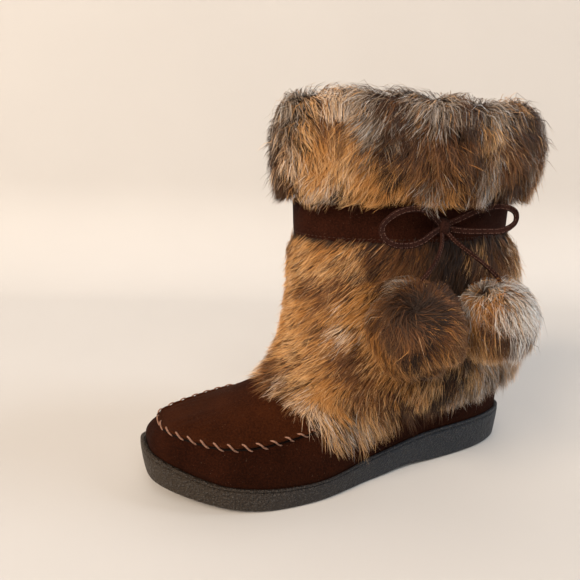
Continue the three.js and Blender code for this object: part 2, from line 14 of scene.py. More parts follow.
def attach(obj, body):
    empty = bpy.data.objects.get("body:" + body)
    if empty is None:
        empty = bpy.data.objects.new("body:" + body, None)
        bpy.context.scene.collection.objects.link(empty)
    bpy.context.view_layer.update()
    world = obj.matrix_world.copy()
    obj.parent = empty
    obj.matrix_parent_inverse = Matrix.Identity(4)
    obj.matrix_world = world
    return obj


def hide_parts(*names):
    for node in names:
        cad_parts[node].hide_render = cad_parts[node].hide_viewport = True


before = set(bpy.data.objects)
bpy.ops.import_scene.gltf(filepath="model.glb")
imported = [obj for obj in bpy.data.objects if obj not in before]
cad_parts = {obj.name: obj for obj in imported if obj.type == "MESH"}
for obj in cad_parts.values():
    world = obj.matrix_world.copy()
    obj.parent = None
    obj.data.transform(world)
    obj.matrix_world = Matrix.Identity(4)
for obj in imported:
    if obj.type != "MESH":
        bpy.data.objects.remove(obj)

LOG = logging.getLogger("boot")
MM = 0.001
Array = np.ndarray
Colour = tuple[float, float, float]

# The sole's half widths and rim height along the boot, from heel (0) to toe (1), in millimetres.
SOLE_AT = (0, 0.12, 0.3, 0.45, 0.66, 0.82, 1)
SOLE_OUTER = (33.84, 36, 35.28, 39.375, 52.5, 56.7, 43.575)
SOLE_INNER = (33.84, 35.28, 33.48, 37.8, 48.825, 51.45, 44.1)
RIM_AT = (0, 0.25, 0.45, 0.65, 0.85, 1)
RIM_HEIGHT = (25.6, 24.8, 19.4, 14.6, 18.4, 29.6)

# The upper's sections from sole to collar, one column each: back and front points, insets from the
# sole's outline at heel and ball, the oval that takes over, and the share of the rim's own curve.
BACK_Y = (130.4, 131.6, 132, 131.8, 131, 129.6, 127.6, 125.2, 122.8, 120.6, 118.8, 117.4, 116.6, 116.4,
          117.4, 119.2, 120.6)
BACK_Z = (20.9, 28.5, 37, 45, 52, 59, 66, 73, 81, 90, 101, 117, 136, 158, 181, 206, 231)
FRONT_Y = (-130.2, -130.4, -127.2, -121.4, -112, -99, -84, -69.5, -56, -45, -36.6, -31.4, -29.4, -30.4,
           -31.6, -32.4, -33)
FRONT_Z = (25.2, 32.6, 38.6, 42.8, 45.8, 48.2, 51.2, 55.6, 62.2, 72, 85.5, 105.5, 131, 158, 181, 206, 231)
HEEL_IN = (3.4, 2.4, 2.2, 2.8, 4) + (5,) * 12
BALL_IN = (3.4, 2.2, 3.2, 8.4, 12.5, 16) + (18,) * 11
OVAL_HALF = (40, 40, 40, 42, 40, 39, 38.6, 38.6, 38.8, 39.4, 40.4, 42.2, 44.8, 46.8, 48.4, 50, 51)
OVAL_POWER = (0.7, 0.7, 0.7, 0.72, 0.76, 0.8, 0.83, 0.86, 0.88, 0.9, 0.92, 0.94, 0.96, 0.97, 0.97, 0.97,
              0.97)
OVAL_SHARE = (0, 0, 0, 0.1, 0.4, 0.7, 0.9) + (1,) * 10
RIM_DIP = (1, 0.97, 0.66, 0.16, 0.06, 0.02) + (0,) * 11
COLLAR = 16

# The apron's seam and the fur's lower edge, as section numbers along the boot.
SEAM_AT = (0.64, 0.72, 0.8, 0.9, 1)
SEAM_SECTION = (3.5, 3.2, 2.85, 2.68, 2.85)
FUR_AT = (0, 0.22, 0.42, 0.55, 0.63, 0.69, 0.76, 0.83, 0.9, 0.97, 1)
FUR_SECTION = (4.1, 3.9, 3.4, 3.05, 3.3, 4.3, 5.5, 6.5, 7.3, 7.9, 8.1)


class Track:
    """A smooth line through a table's values, without overshoot between its rows."""

    def __init__(self, at: Sequence[float], values: Sequence[float]) -> None:
        """Works out the slope at each row.

        Args:
            at: where the rows stand, rising.
            values: the value at each row.
        """
        self.at = np.array(at, float)
        self.values = np.array(values, float)
        self.step = np.diff(self.at)
        rise = np.diff(self.values) / self.step
        slope = np.concatenate([rise[:1], np.zeros(len(rise) - 1), rise[-1:]])
        for i in range(1, len(rise)):
            if rise[i - 1] * rise[i] > 0:
                before = 2 * self.step[i] + self.step[i - 1]
                after = self.step[i] + 2 * self.step[i - 1]
                slope[i] = (before + after) / (before / rise[i - 1] + after / rise[i])
        self.slope = slope

    def __call__(self, place: Array | float) -> Array:
        """Reads the line.

        Args:
            place: a place or an array of places.

        Returns:
            The line's value at each place.
        """
        at = np.clip(place, self.at[0], self.at[-1])
        i = np.clip(np.searchsorted(self.at, at, side="left") - 1, 0, len(self.step) - 1)
        step = self.step[i]
        t = (at - self.at[i]) / step
        s = 1 - t
        near = self.values[i] * (1 + 2 * t) * s**2 + self.slope[i] * step * t * s**2
        far = self.values[i + 1] * t * t * (3 - 2 * t) - self.slope[i + 1] * step * t * t * s
        return near + far


def lerp(a: Array | float, b: Array | float, share: Array | float) -> Array:
    """The value that lies at a share of the way from a to b."""
    return a + (b - a) * share


def smooth(value: Array | float, low: float, high: float) -> Array:
    """A soft step from 0 at low to 1 at high."""
    t = np.clip((value - low) / (high - low), 0, 1)
    return t * t * (3 - 2 * t)


def unit(vectors: Array) -> Array:
    """The vectors at length 1."""
    return vectors / np.maximum(np.linalg.norm(vectors, axis=-1, keepdims=True), 1e-9)


def signed_power(value: Array, power: Array | float) -> Array:
    """A power that keeps the value's sign."""
    return np.sign(value) * np.abs(value) ** power


def soft_noise(points: Array, size: float, seed: int) -> Array:
    """Smooth seeded noise, about -1 to 1.

    Args:
        points: places, in millimetres.
        size: how wide its lumps are, in millimetres.
        seed: picks one of many patterns.

    Returns:
        One value for each point.
    """
    dice = np.random.default_rng(seed)
    total = np.zeros(points.shape[:-1])
    for _ in range(7):
        wave = dice.normal(size=3)
        wave *= dice.uniform(0.6, 1.5) * math.pi / (size * np.linalg.norm(wave))
        total += np.sin(points @ wave + dice.uniform(0, 2 * math.pi))
    return total / 2.6


@dataclass(frozen=True)
class BootForm:
    """The boot's own shape, in millimetres. Angles run round it: 0 is the heel, pi the toe, and the
    outer side lies between. Section numbers run from the sole (0) to the collar (16)."""

    length: float = 268
    end_power: float = 0.62
    tip_shift: float = 9.5
    toe_spring: float = 10
    arch_lift: float = 1.6
    inner_lift: float = 1.5
    inner_sine: tuple[float, float] = (0.05, 0.6)
    inner_along: tuple[float, float] = (0.68, 0.86)
    inset_along: tuple[float, float] = (0.25, 0.7)
    swing_from: float = 26.8
    swing_span: float = 107.2
    swing_end: float = 1.1
    arch_from: float = 0.27
    arch_span: float = 0.19
    spring_from: float = 0.73
    spring_power: float = 1.7
    near_row: float = 0.15
    near_turn: float = 0.05
    outer_half: Track = Track(SOLE_AT, SOLE_OUTER)
    inner_half: Track = Track(SOLE_AT, SOLE_INNER)
    rim: Track = Track(RIM_AT, RIM_HEIGHT)
    seam: Track = Track(SEAM_AT, SEAM_SECTION)
    fur_edge: Track = Track(FUR_AT, FUR_SECTION)
    columns: dict[str, Track] = field(
        default_factory=lambda: {
            name: Track(range(COLLAR + 1), values)
            for name, values in {
                "back_y": BACK_Y, "back_z": BACK_Z, "front_y": FRONT_Y, "front_z": FRONT_Z,
                "heel_in": HEEL_IN, "ball_in": BALL_IN, "half": OVAL_HALF, "power": OVAL_POWER,
                "oval": OVAL_SHARE, "dip": RIM_DIP,
            }.items()
        }
    )

    def along(self, angle: Array | float) -> Array:
        """The share of the way from heel to toe at an angle."""
        return (1 - np.cos(angle)) / 2

    def swing(self, y: Array) -> Array:
        """How far the toe bends towards the inner side."""
        return -self.tip_shift * np.clip((-y - self.swing_from) / self.swing_span, 0, self.swing_end) ** 2

    def seam_line(self, angle: Array) -> Array:
        """The apron's seam as section numbers, higher on the inner side."""
        at = self.along(angle)
        inner = smooth(-np.sin(angle), *self.inner_sine) * smooth(at, *self.inner_along)
        return self.seam(at) + self.inner_lift * inner

    def side_half(self, at: Array, angle: Array) -> Array:
        """The sole's half width on the side that the angle is on."""
        return np.where(np.sin(angle) >= 0, self.outer_half(at), self.inner_half(at))

    def outline(self, angle: Array, inset: Array | float, height: Array | float) -> Array:
        """Points of the sole's outline.

        Args:
            angle: angles round the boot.
            inset: how far the line is drawn in.
            height: how high it lies.

        Returns:
            The points, in millimetres.
        """
        at = self.along(angle)
        y = (self.length / 2 - inset) * (1 - 2 * at)
        x = (self.side_half(at, angle) - inset) * signed_power(np.sin(angle), self.end_power)
        return np.stack([x + self.swing(y), y, np.broadcast_to(height, y.shape)], -1)

    def under(self, at: Array) -> Array:
        """The underside's height: flat at heel and ball, an arch between, and toe spring."""
        arch = np.sin(np.pi * np.clip((at - self.arch_from) / self.arch_span, 0, 1)) ** 2
        toe = np.clip((at - self.spring_from) / (1 - self.spring_from), 0, 1) ** self.spring_power
        return self.arch_lift * arch + self.toe_spring * toe

    def face(self, number: Array | float, angle: Array) -> Array:
        """Points on the upper's outer face.

        Args:
            number: section numbers.
            angle: angles round the boot.

        Returns:
            The points, in millimetres.
        """
        at = self.along(angle)
        col = {name: track(number) for name, track in self.columns.items()}
        y = lerp(col["back_y"], col["front_y"], at)
        inset = lerp(col["heel_in"], col["ball_in"], smooth(at, *self.inset_along))
        half = lerp(self.side_half(at, angle) - inset, col["half"], col["oval"])
        power = lerp(self.end_power, col["power"], col["oval"])
        straight = lerp(RIM_HEIGHT[0], RIM_HEIGHT[-1], at)
        z = lerp(col["back_z"], col["front_z"], at) + col["dip"] * (self.rim(at) - straight)
        return np.stack([half * signed_power(np.sin(angle), power) + self.swing(y), y, z], -1)

    def normal(self, number: Array | float, angle: Array) -> Array:
        """The outer face's normals."""
        above = self.face(np.minimum(number + self.near_row, COLLAR), angle)
        below = self.face(np.maximum(number - self.near_row, 0), angle)
        turn = self.face(number, angle + self.near_turn) - self.face(number, angle - self.near_turn)
        return unit(np.cross(above - below, turn))

    def point(self, number: Array | float, angle: Array, out: Array | float = 0.0) -> Array:
        """Points off the upper's outer face.

        Args:
            number: section numbers.
            angle: angles round the boot.
            out: distances along the normal, less than 0 inside.

        Returns:
            The points, in millimetres.
        """
        number, angle, out = np.broadcast_arrays(*(np.asarray(v, float) for v in (number, angle, out)))
        return self.face(number, angle) + self.normal(number, angle) * out[..., None]


FORM = BootForm()


class Sock:
    """A shader socket that takes part in Python expressions; each operation adds a Math node."""

    def __init__(self, kit: "NodeKit", socket: bpy.types.NodeSocket) -> None:
        self.kit = kit
        self.socket = socket

    def _math(self, operation: str, *values: "Sock | float") -> "Sock":
        """Adds one Math node for an operation on values."""
        inputs = dict(enumerate(values))
        return self.kit.node("ShaderNodeMath", {"operation": operation}, inputs)

    def __add__(self, other: "Sock | float") -> "Sock":
        """This value plus the other."""
        return self._math("ADD", self, other)

    def __sub__(self, other: "Sock | float") -> "Sock":
        """This value less the other."""
        return self._math("SUBTRACT", self, other)

    def __rsub__(self, other: float) -> "Sock":
        """The other less this value."""
        return self._math("SUBTRACT", other, self)

    def __mul__(self, other: "Sock | float") -> "Sock":
        """This value times the other."""
        return self._math("MULTIPLY", self, other)

    __radd__ = __add__
    __rmul__ = __mul__

    def step(self, low: float, high: float) -> "Sock":
        """A soft step from 0 at low to 1 at high."""
        settings = {"interpolation_type": "SMOOTHSTEP"}
        limits = {"Value": self, "From Min": low, "From Max": high}
        return self.kit.node("ShaderNodeMapRange", settings, limits)


class NodeKit:
    """Builds one material's nodes."""

    def __init__(self, name: str) -> None:
        """Starts a material with an empty tree.

        Args:
            name: the material's name.
        """
        self.material = bpy.data.materials.new(name)
        self.material.use_nodes = True
        self.tree = self.material.node_tree
        self.tree.nodes.clear()

    def add(self, kind: str, settings: dict | None = None, inputs: dict | None = None) -> bpy.types.Node:
        """Adds a node.

        Args:
            kind: the node's type.
            settings: its own settings, set first; "stops" are a ramp's places and colours.
            inputs: values or links of its sockets, by name or number.

        Returns:
            The node.
        """
        made = self.tree.nodes.new(kind)
        for name, value in (settings or {}).items():
            if name == "stops":
                self._set_stops(made.color_ramp, value)
            else:
                setattr(made, name, value)
        for name, value in (inputs or {}).items():
            if isinstance(value, Sock):
                self.tree.links.new(value.socket, made.inputs[name])
            else:
                made.inputs[name].default_value = value
        return made

    def node(self, kind: str, settings: dict | None = None, inputs: dict | None = None,
             out: int | str = 0) -> Sock:
        """Adds a node, as add() does, and hands back one of its outputs.

        Args:
            kind: the node's type.
            settings: its own settings.
            inputs: values or links of its sockets.
            out: which output, by name or number.

        Returns:
            The chosen output.
        """
        return Sock(self, self.add(kind, settings, inputs).outputs[out])

    def _set_stops(self, ramp: bpy.types.ColorRamp, stops: Sequence[tuple[float, Colour]]) -> None:
        """Sets a ramp's stops.

        Args:
            ramp: the ramp.
            stops: places and colours.
        """
        while len(ramp.elements) < len(stops):
            ramp.elements.new(0.5)
        for element, (place, colour) in zip(ramp.elements, stops):
            element.position = place
            element.color = (*colour, 1)

    def place(self) -> Sock:
        """The boot's own coordinates, in millimetres."""
        where = self.node("ShaderNodeTexCoord", out="Object")
        return self.node("ShaderNodeVectorMath", {"operation": "SCALE"}, {0: where, "Scale": 1 / MM})

    def noise(self, size: float, detail: float = 3, rough: float = 0.55) -> Sock:
        """Noise over the boot.

        Args:
            size: how wide its lumps are, in millimetres.
            detail: how many finer layers it has.
            rough: how strong those are.

        Returns:
            The noise, about 0 to 1.
        """
        inputs = {"Vector": self.place(), "Scale": 1 / size, "Detail": detail, "Roughness": rough}
        return self.node("ShaderNodeTexNoise", inputs=inputs)

    def mix(self, share: Sock | float, a: Sock | Colour, b: Sock | Colour) -> Sock:
        """Mixes two colours.

        Args:
            share: how much of b there is.
            a: one colour.
            b: the other colour.

        Returns:
            The mixed colour.
        """
        one, other = (value if isinstance(value, Sock) else (*value, 1) for value in (a, b))
        return self.node("ShaderNodeMix", {"data_type": "RGBA"}, {0: share, 6: one, 7: other}, out=2)

    def finish(self, colour: Sock, roughness: Sock | float, height: Sock | None = None, depth: float = 0.3,
               **fixed: float) -> bpy.types.Material:
        """Closes the material with its shader.

        Args:
            colour: the base colour.
            roughness: the roughness.
            height: a height for the bump, about 0 to 1.
            depth: how deep that height is, in millimetres.
            fixed: other sockets, with words joined by underscores, that stay the same all over.

        Returns:
            The material.
        """
        inputs = {"Base Color": colour, "Roughness": roughness}
        inputs |= {name.replace("_", " "): value for name, value in fixed.items()}
        if height is not None:
            bump = {"Strength": 1.0, "Distance": depth * MM, "Height": height}
            inputs["Normal"] = self.node("ShaderNodeBump", inputs=bump)
        shader = self.node("ShaderNodeBsdfPrincipled", inputs=inputs)
        self.add("ShaderNodeOutputMaterial", inputs={"Surface": shader})
        return self.material


class Slot(Enum):
    """The record's material slots."""

    SOLE = "sole_rubber"
    SUEDE = "suede"
    APRON = "apron_suede"
    BAND = "band_suede"
    LACE = "lace_suede"
    INSOLE = "insole_pile"
    SHAFT = "shaft_fur"
    CUFF = "cuff_fur"
    BROWN = "brown_pompom_fur"
    GREY = "grey_pompom_fur"


@dataclass(frozen=True)
class Suede:
    """Matt suede with a fine nap, brushed lighter and darker in patches."""

    dark: Colour
    light: Colour
    speck: Colour = (0.3, 0.2, 0.14)
    nap_size: float = 0.45
    fleck_size: float = 1.1
    speck_size: float = 0.7
    brushed: float = 26
    roughness: float = 0.92
    bump: float = 0.35

    def material(self, name: str) -> bpy.types.Material:
        """The finish as a material of this name."""
        kit = NodeKit(name)
        brushed = kit.noise(self.brushed, 2)
        nap = kit.noise(self.nap_size, 3, 0.7)
        fleck = kit.noise(self.fleck_size, 3, 0.75)
        colour = kit.mix((brushed * 0.4 + fleck * 0.8).step(0.42, 0.8), self.dark, self.light)
        colour = kit.mix(nap.step(0.3, 0.75) * 0.45, colour, tuple(0.45 * value for value in self.dark))
        specks = kit.noise(self.speck_size, 1, 0.5).step(0.74, 0.8)
        colour = kit.mix(specks * 0.35, colour, self.speck)
        height = nap * 0.5 + fleck * 0.5
        shine = {"Sheen_Weight": 0.01, "Specular_IOR_Level": 0.03}
        return kit.finish(colour, self.roughness, height, self.bump, **shine)


@dataclass(frozen=True)
class Rubber:
    """Finely pebbled near-black rubber with dust patches; its warm tint at the toe, cool tint at the heel
    and pale pebble glints are painted light.
    """

    # Painted light: the toe's warm brown and the heel's cool blue-grey stand for the warm and cool lamps,
    # over the rubber's own near-black.
    toe: Colour = (0.024, 0.015, 0.008)
    heel: Colour = (0.01, 0.014, 0.021)
    # Painted highlight: pale grey glints on the pebbles' tops.
    painted_glint: Colour = (0.085, 0.08, 0.076)
    dust: Colour = (0.12, 0.1, 0.08)
    pebble: float = 1.45
    dust_size: float = 9
    bump: float = 1.5

    def material(self, name: str) -> bpy.types.Material:
        """The finish as a material of this name."""
        kit = NodeKit(name)
        axes = kit.node("ShaderNodeSeparateXYZ", inputs={0: kit.place()}, out=1)
        # Painted light: a warm tint towards the toe and a cool tint towards the heel.
        colour = kit.mix(axes.step(-120, 40), self.toe, self.heel)
        cells = kit.node("ShaderNodeTexVoronoi", {"feature": "SMOOTH_F1"},
                         {"Vector": kit.place(), "Scale": 1 / self.pebble, "Smoothness": 0.5})
        dust = kit.noise(self.dust_size, 4, 0.65).step(0.45, 0.8)
        # Painted highlight: each pebble's top turns pale grey, as a glint.
        colour = kit.mix((1 - cells.step(0.08, 0.42)) * 0.6, colour, self.painted_glint)
        colour = kit.mix(dust * 0.1, colour, self.dust)
        height = (1 - cells) + kit.noise(0.5, 2) * 0.4
        return kit.finish(colour, dust * 0.12 + 0.5, height, self.bump, Specular_IOR_Level=0.3)


@dataclass(frozen=True)
class Pile:
    """Short looped pile, for the insole and the lining."""

    colour: Colour = (0.42, 0.33, 0.23)

    def material(self, name: str) -> bpy.types.Material:
        """The finish as a material of this name."""
        kit = NodeKit(name)
        curl = kit.noise(2.2, 4, 0.7)
        deep = tuple(0.35 * value for value in self.colour)
        colour = kit.mix(curl.step(0.35, 0.62), deep, self.colour)
        return kit.finish(colour, 0.95, curl, 1.4, Sheen_Weight=0.05)


@dataclass(frozen=True)
class Thread:
    """Twisted thread."""

    colour: Colour

    def material(self, name: str) -> bpy.types.Material:
        """The finish as a material of this name."""
        kit = NodeKit(name)
        twist = kit.noise(0.5, 2)
        deep = tuple(0.5 * value for value in self.colour)
        colour = kit.mix(twist.step(0.35, 0.6), deep, self.colour)
        return kit.finish(colour, 0.8, twist, 0.12, Specular_IOR_Level=0.1)


@dataclass(frozen=True)
class Underfur:
    """The short fur under the hairs: dark brown of its own, made darker still as painted shade of the gaps
    between clumps.
    """

    # Painted shade: both colours are darker than the fur's own, for the shadow between clumps.
    dark: Colour = (0.016, 0.008, 0.004)
    light: Colour = (0.1, 0.048, 0.022)
    curl: float = 1.4

    def material(self, name: str) -> bpy.types.Material:
        """The finish as a material of this name."""
        kit = NodeKit(name)
        curl = kit.noise(self.curl, 4, 0.7)
        colour = kit.mix(curl.step(0.35, 0.7), self.dark, self.light)
        return kit.finish(colour, 0.95, curl, 1.2, Specular_IOR_Level=0.05)


BROWN_SUEDE = Suede((0.011, 0.003, 0.0014), (0.032, 0.0085, 0.0034))
APRON_SUEDE = Suede((0.02, 0.0052, 0.0018), (0.05, 0.0135, 0.0042))
BAND_SUEDE = Suede((0.015, 0.0045, 0.0025), (0.04, 0.0115, 0.0058), brushed=18)
LACE_SUEDE = Suede((0.013, 0.005, 0.0036), (0.042, 0.0165, 0.012), brushed=14)
LACE_THREAD = Thread((0.2, 0.11, 0.085))
# Painted shade: near-black for the thin tube that stands for the shadow in the apron seam's groove.
SEAM_SHADE = Thread((0.006, 0.003, 0.002))
STITCH_THREAD = Thread((0.3, 0.165, 0.115))
BAND_THREAD = Thread((0.06, 0.03, 0.022))
HAIR_MAP = "OFBake"


# Fur tones along one scale, each with its colour on the hair's body and at its tip.
TONES = (
    (0.0, (0.01, 0.006, 0.004), (0.03, 0.018, 0.012)),
    (0.14, (0.04, 0.018, 0.009), (0.1, 0.052, 0.027)),
    (0.28, (0.12, 0.045, 0.015), (0.24, 0.11, 0.045)),
    (0.42, (0.4, 0.168, 0.04), (0.66, 0.34, 0.115)),
    (0.56, (0.48, 0.245, 0.085), (0.76, 0.475, 0.22)),
    (0.68, (0.56, 0.36, 0.2), (0.82, 0.6, 0.42)),
    (0.79, (0.58, 0.6, 0.61), (0.9, 0.93, 0.96)),
    (0.89, (0.22, 0.15, 0.095), (0.48, 0.36, 0.26)),
    (1.0, (0.07, 0.055, 0.046), (0.24, 0.2, 0.17)),
)


@dataclass(frozen=True)
class Hair:
    """Fur hairs. Across its own map runs the tone, and up it the way from root to tip."""

    # The roots are dark brown of their own, made darker still as painted shade deep in the pile.
    root: Colour = (0.022, 0.012, 0.008)
    roots_end: float = 0.5

    def material(self, name: str) -> bpy.types.Material:
        """The finish as a material of this name."""
        kit = NodeKit(name)
        uv = kit.node("ShaderNodeUVMap", {"uv_map": HAIR_MAP})
        tone = kit.node("ShaderNodeSeparateXYZ", inputs={0: uv}, out=0)
        along = kit.node("ShaderNodeSeparateXYZ", inputs={0: uv}, out=1)
        body, tip = (
            kit.node("ShaderNodeValToRGB", {"stops": [(row[0], row[part]) for row in TONES]}, {0: tone})
            for part in (1, 2)
        )
        colour = kit.mix(along.step(0.08, self.roots_end), self.root, body)
        colour = kit.mix(along.step(0.5, 0.95), colour, tip)
        return kit.finish(colour, 0.6, Specular_IOR_Level=0.2)


def raw_mesh(name: str, points: Array, faces: Array) -> bpy.types.Object:
    """Makes an object from points in millimetres.

    Args:
        name: the object's name.
        points: its corners.
        faces: rows of corner numbers, with -1 at the end of a shorter row.

    Returns:
        The object, in metres.
    """
    used = faces >= 0
    count = used.sum(1)
    mesh = bpy.data.meshes.new(name)
    mesh.vertices.add(len(points))
    mesh.vertices.foreach_set("co", (points * MM).astype(np.float32).ravel())
    mesh.loops.add(int(count.sum()))
    mesh.loops.foreach_set("vertex_index", faces[used].astype(np.int32))
    mesh.polygons.add(len(faces))
    mesh.polygons.foreach_set("loop_start", (np.cumsum(count) - count).astype(np.int32))
    mesh.polygons.foreach_set("use_smooth", np.full(len(faces), True))
    mesh.update(calc_edges=True)
    mesh.validate()
    thing = bpy.data.objects.new(name, mesh)
    bpy.context.collection.objects.link(thing)
    return thing


def ring_faces(rows: int, columns: int, wrap: bool = True, loop: bool = False) -> Array:
    """Faces between rows of points, each with the same number of columns.

    Args:
        rows: how many rows.
        columns: how many points a row has.
        wrap: whether each row closes on itself.
        loop: whether the last row joins the first.

    Returns:
        Rows of four corner numbers.
    """
    row_count = rows if loop else rows - 1
    column_count = columns if wrap else columns - 1
    r, c = np.meshgrid(np.arange(row_count), np.arange(column_count), indexing="ij")
    up, side = (r + 1) % rows, (c + 1) % columns
    faces = [r * columns + c, r * columns + side, up * columns + side, up * columns + c]
    return np.stack(faces, -1).reshape(-1, 4)


def dress(thing: bpy.types.Object, material: bpy.types.Material, slot: Slot,
          *nodes: str) -> bpy.types.Object:
    """Gives a piece its material and its place in the boot.

    Args:
        thing: the piece.
        material: its finish.
        slot: the record's slot; not used.
        nodes: the solids that it stands for.

    Returns:
        The piece.
    """
    thing.data.materials.clear()
    thing.data.materials.append(material)
    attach(thing, "root")
    if nodes:
        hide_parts(*nodes)
    triangles = sum(len(face.vertices) - 2 for face in thing.data.polygons)
    LOG.info("%s: %d triangles", thing.name, triangles)
    return thing


@dataclass(frozen=True)
class Studio:
    """Camera, pale floor and soft lights. Places are in metres."""

    azimuth: float = 1.1726792
    elevation: float = 0.2323666
    roll: float = 0.0180451
    focal: float = 581.912
    picture: float = 580
    stand: tuple[float, float, float] = (0.334762, -0.179109, 0.209988)
    sensor: float = 36
    reach: float = 9
    wall_from: float = 0.42
    wall_round: float = 0.16
    aim: tuple[float, float, float] = (0, 0, 0.1)
    sky: tuple[float, float, float, float] = (0.96, 0.97, 1.0, 1)
    sky_strength: float = 0.3

    def camera(self) -> None:
        """Sets the camera at the photograph's angle."""
        a, e, r = self.azimuth, self.elevation, self.roll
        back = Vector((math.sin(a) * math.cos(e), -math.cos(a) * math.cos(e), math.sin(e)))
        level = Vector((math.cos(a), math.sin(a), 0))
        upright = back.cross(level)
        right = level * math.cos(r) + upright * math.sin(r)
        up = upright * math.cos(r) - level * math.sin(r)
        lens = bpy.data.cameras.new("camera")
        lens.sensor_width = self.sensor
        lens.lens = self.focal / self.picture * lens.sensor_width
        lens.clip_start = 0.01
        camera = bpy.data.objects.new("camera", lens)
        bpy.context.collection.objects.link(camera)
        turn = Matrix((right, up, back)).transposed()
        camera.matrix_world = Matrix.Translation(self.stand) @ turn.to_4x4()
        bpy.context.scene.camera = camera

    def floor(self) -> None:
        """Lays the floor, swept up into a pale wall behind the boot."""
        back = Vector((-math.sin(self.azimuth), math.cos(self.azimuth), 0))
        side = Vector((math.cos(self.azimuth), math.sin(self.azimuth), 0))
        rise = np.linspace(0, math.pi / 2, 13)
        curve = self.wall_from + self.wall_round * np.sin(rise)
        depth = np.concatenate([[-self.reach], curve, [self.wall_from + self.wall_round]])
        height = np.concatenate([[0], self.wall_round * (1 - np.cos(rise)), [self.reach]])
        ends = (-self.reach, self.reach)
        rows = [[(back * d + side * end)[:2] + (h,) for end in ends] for d, h in zip(depth, height)]
        points = np.array(rows, float).reshape(-1, 3) / MM
        sheet = raw_mesh("floor", points, ring_faces(len(depth), 2, wrap=False))
        kit = NodeKit("pale_floor")
        tint = kit.mix(kit.noise(240, 2), (0.52, 0.51, 0.5), (0.56, 0.55, 0.54))
        sheet.data.materials.append(kit.finish(tint, 0.7))

    def light(self, name: str, place: Sequence[float], size: float, watts: float, colour: Colour) -> None:
        """Adds one soft light that faces the boot.

        Args:
            name: its name.
            place: where it hangs.
            size: the length of its sides.
            watts: its power.
            colour: its colour.
        """
        lamp = bpy.data.lights.new(name, "AREA")
        lamp.energy = watts
        lamp.size = size
        lamp.color = colour
        thing = bpy.data.objects.new(name, lamp)
        thing.location = place
        aim = Vector(self.aim) - thing.location
        thing.rotation_euler = aim.to_track_quat("-Z", "Y").to_euler()
        bpy.context.collection.objects.link(thing)

    def lights(self) -> None:
        """Warm light from the toe's side, cool light from the heel's side and a soft fill."""
        self.light("warm_side", (1.9, -4.2, 3.2), 2.5, 360, (1.0, 0.8, 0.6))
        self.light("cool_side", (1.4, 4.3, 3.5), 2.8, 225, (0.84, 0.92, 1.0))
        self.light("fill", (4.2, -1.0, 4.2), 3.8, 124, (1.0, 0.95, 0.9))
        world = bpy.data.worlds.new("soft_air")
        world.use_nodes = True
        air = world.node_tree.nodes["Background"]
        air.inputs["Color"].default_value = self.sky
        air.inputs["Strength"].default_value = self.sky_strength
        bpy.context.scene.world = world
        bpy.context.scene.view_settings.view_transform = "Standard"

    def build(self) -> None:
        """Sets up everything round the boot."""
        self.camera()
        self.floor()
        self.lights()


def join_faces(*parts: Array) -> Array:
    """Stacks face rows of different widths, the shorter ones ended by -1.

    Args:
        parts: sets of face rows.

    Returns:
        All rows, at one width.
    """
    wide = max(part.shape[1] for part in parts)
    fills = [((0, 0), (0, wide - part.shape[1])) for part in parts]
    return np.vstack([np.pad(part, fill, constant_values=-1) for part, fill in zip(parts, fills)])


def sweep(centres: Array, side: Array, up: Array, profile: Array,
          loop: bool = False) -> tuple[Array, Array]:
    """Sweeps a closed outline along a line.

    Args:
        centres: the line's points.
        side: the outline's first axis at each point.
        up: its second axis at each point.
        profile: the outline's corners on those axes, or one such list for each point.
        loop: whether the line closes on itself.

    Returns:
        Points and faces, closed at the ends.
    """
    profile = np.broadcast_to(profile, (len(centres), *profile.shape[-2:]))
    rings = centres[:, None] + side[:, None] * profile[..., :1] + up[:, None] * profile[..., 1:]
    count = rings.shape[1]
    faces = ring_faces(len(centres), count, loop=loop)
    if not loop:
        last = (len(centres) - 1) * count
        caps = np.array([np.arange(count)[::-1], last + np.arange(count)])
        faces = join_faces(faces, caps)
    return rings.reshape(-1, 3), faces


def smooth_line(points: Sequence[Sequence[float]], steps: int) -> Array:
    """A smooth line through points.

    Args:
        points: places on the line.
        steps: how many points the line gets.

    Returns:
        Points at even spacing.
    """
    knots = np.array(points, float)
    span = np.concatenate([[0], np.cumsum(np.linalg.norm(np.diff(knots, axis=0), axis=1) ** 0.5)])
    slope = np.gradient(knots, span, axis=0)
    fine = np.linspace(span[0], span[-1], 12 * len(knots))
    i = np.clip(np.searchsorted(span, fine, side="right") - 1, 0, len(span) - 2)
    step = (span[i + 1] - span[i])[:, None]
    t = (fine - span[i])[:, None] / step
    line = knots[i] * (1 + 2 * t) * (1 - t) ** 2 + slope[i] * step * t * (1 - t) ** 2
    line += knots[i + 1] * t * t * (3 - 2 * t) + slope[i + 1] * step * t * t * (t - 1)
    run = np.concatenate([[0], np.cumsum(np.linalg.norm(np.diff(line, axis=0), axis=1))])
    even = np.linspace(0, run[-1], steps)
    return np.stack([np.interp(even, run, line[:, k]) for k in range(3)], -1)


def line_length(points: Array) -> float:
    """How long a line of points is."""
    return float(np.linalg.norm(np.diff(points, axis=0), axis=1).sum())


def beads(centres: Array, along: Array, across: Array, up: Array, size: Array) -> tuple[Array, Array]:
    """Small six-cornered grains, such as stitches.

    Args:
        centres: where they lie.
        along: their long axis.
        across: their middle axis.
        up: their short axis.
        size: half lengths on the three axes.

    Returns:
        Points and faces.
    """
    axes = np.stack([along * size[0], across * size[1], up * size[2]], 1)
    points = np.concatenate([centres[:, None] + axes, centres[:, None] - axes], 1)
    one = np.array([[0, 1, 2], [1, 3, 2], [3, 4, 2], [4, 0, 2], [1, 0, 5], [3, 1, 5], [4, 3, 5], [0, 4, 5]])
    faces = one[None] + 6 * np.arange(len(centres))[:, None, None]
    return points.reshape(-1, 3), faces.reshape(-1, 3)


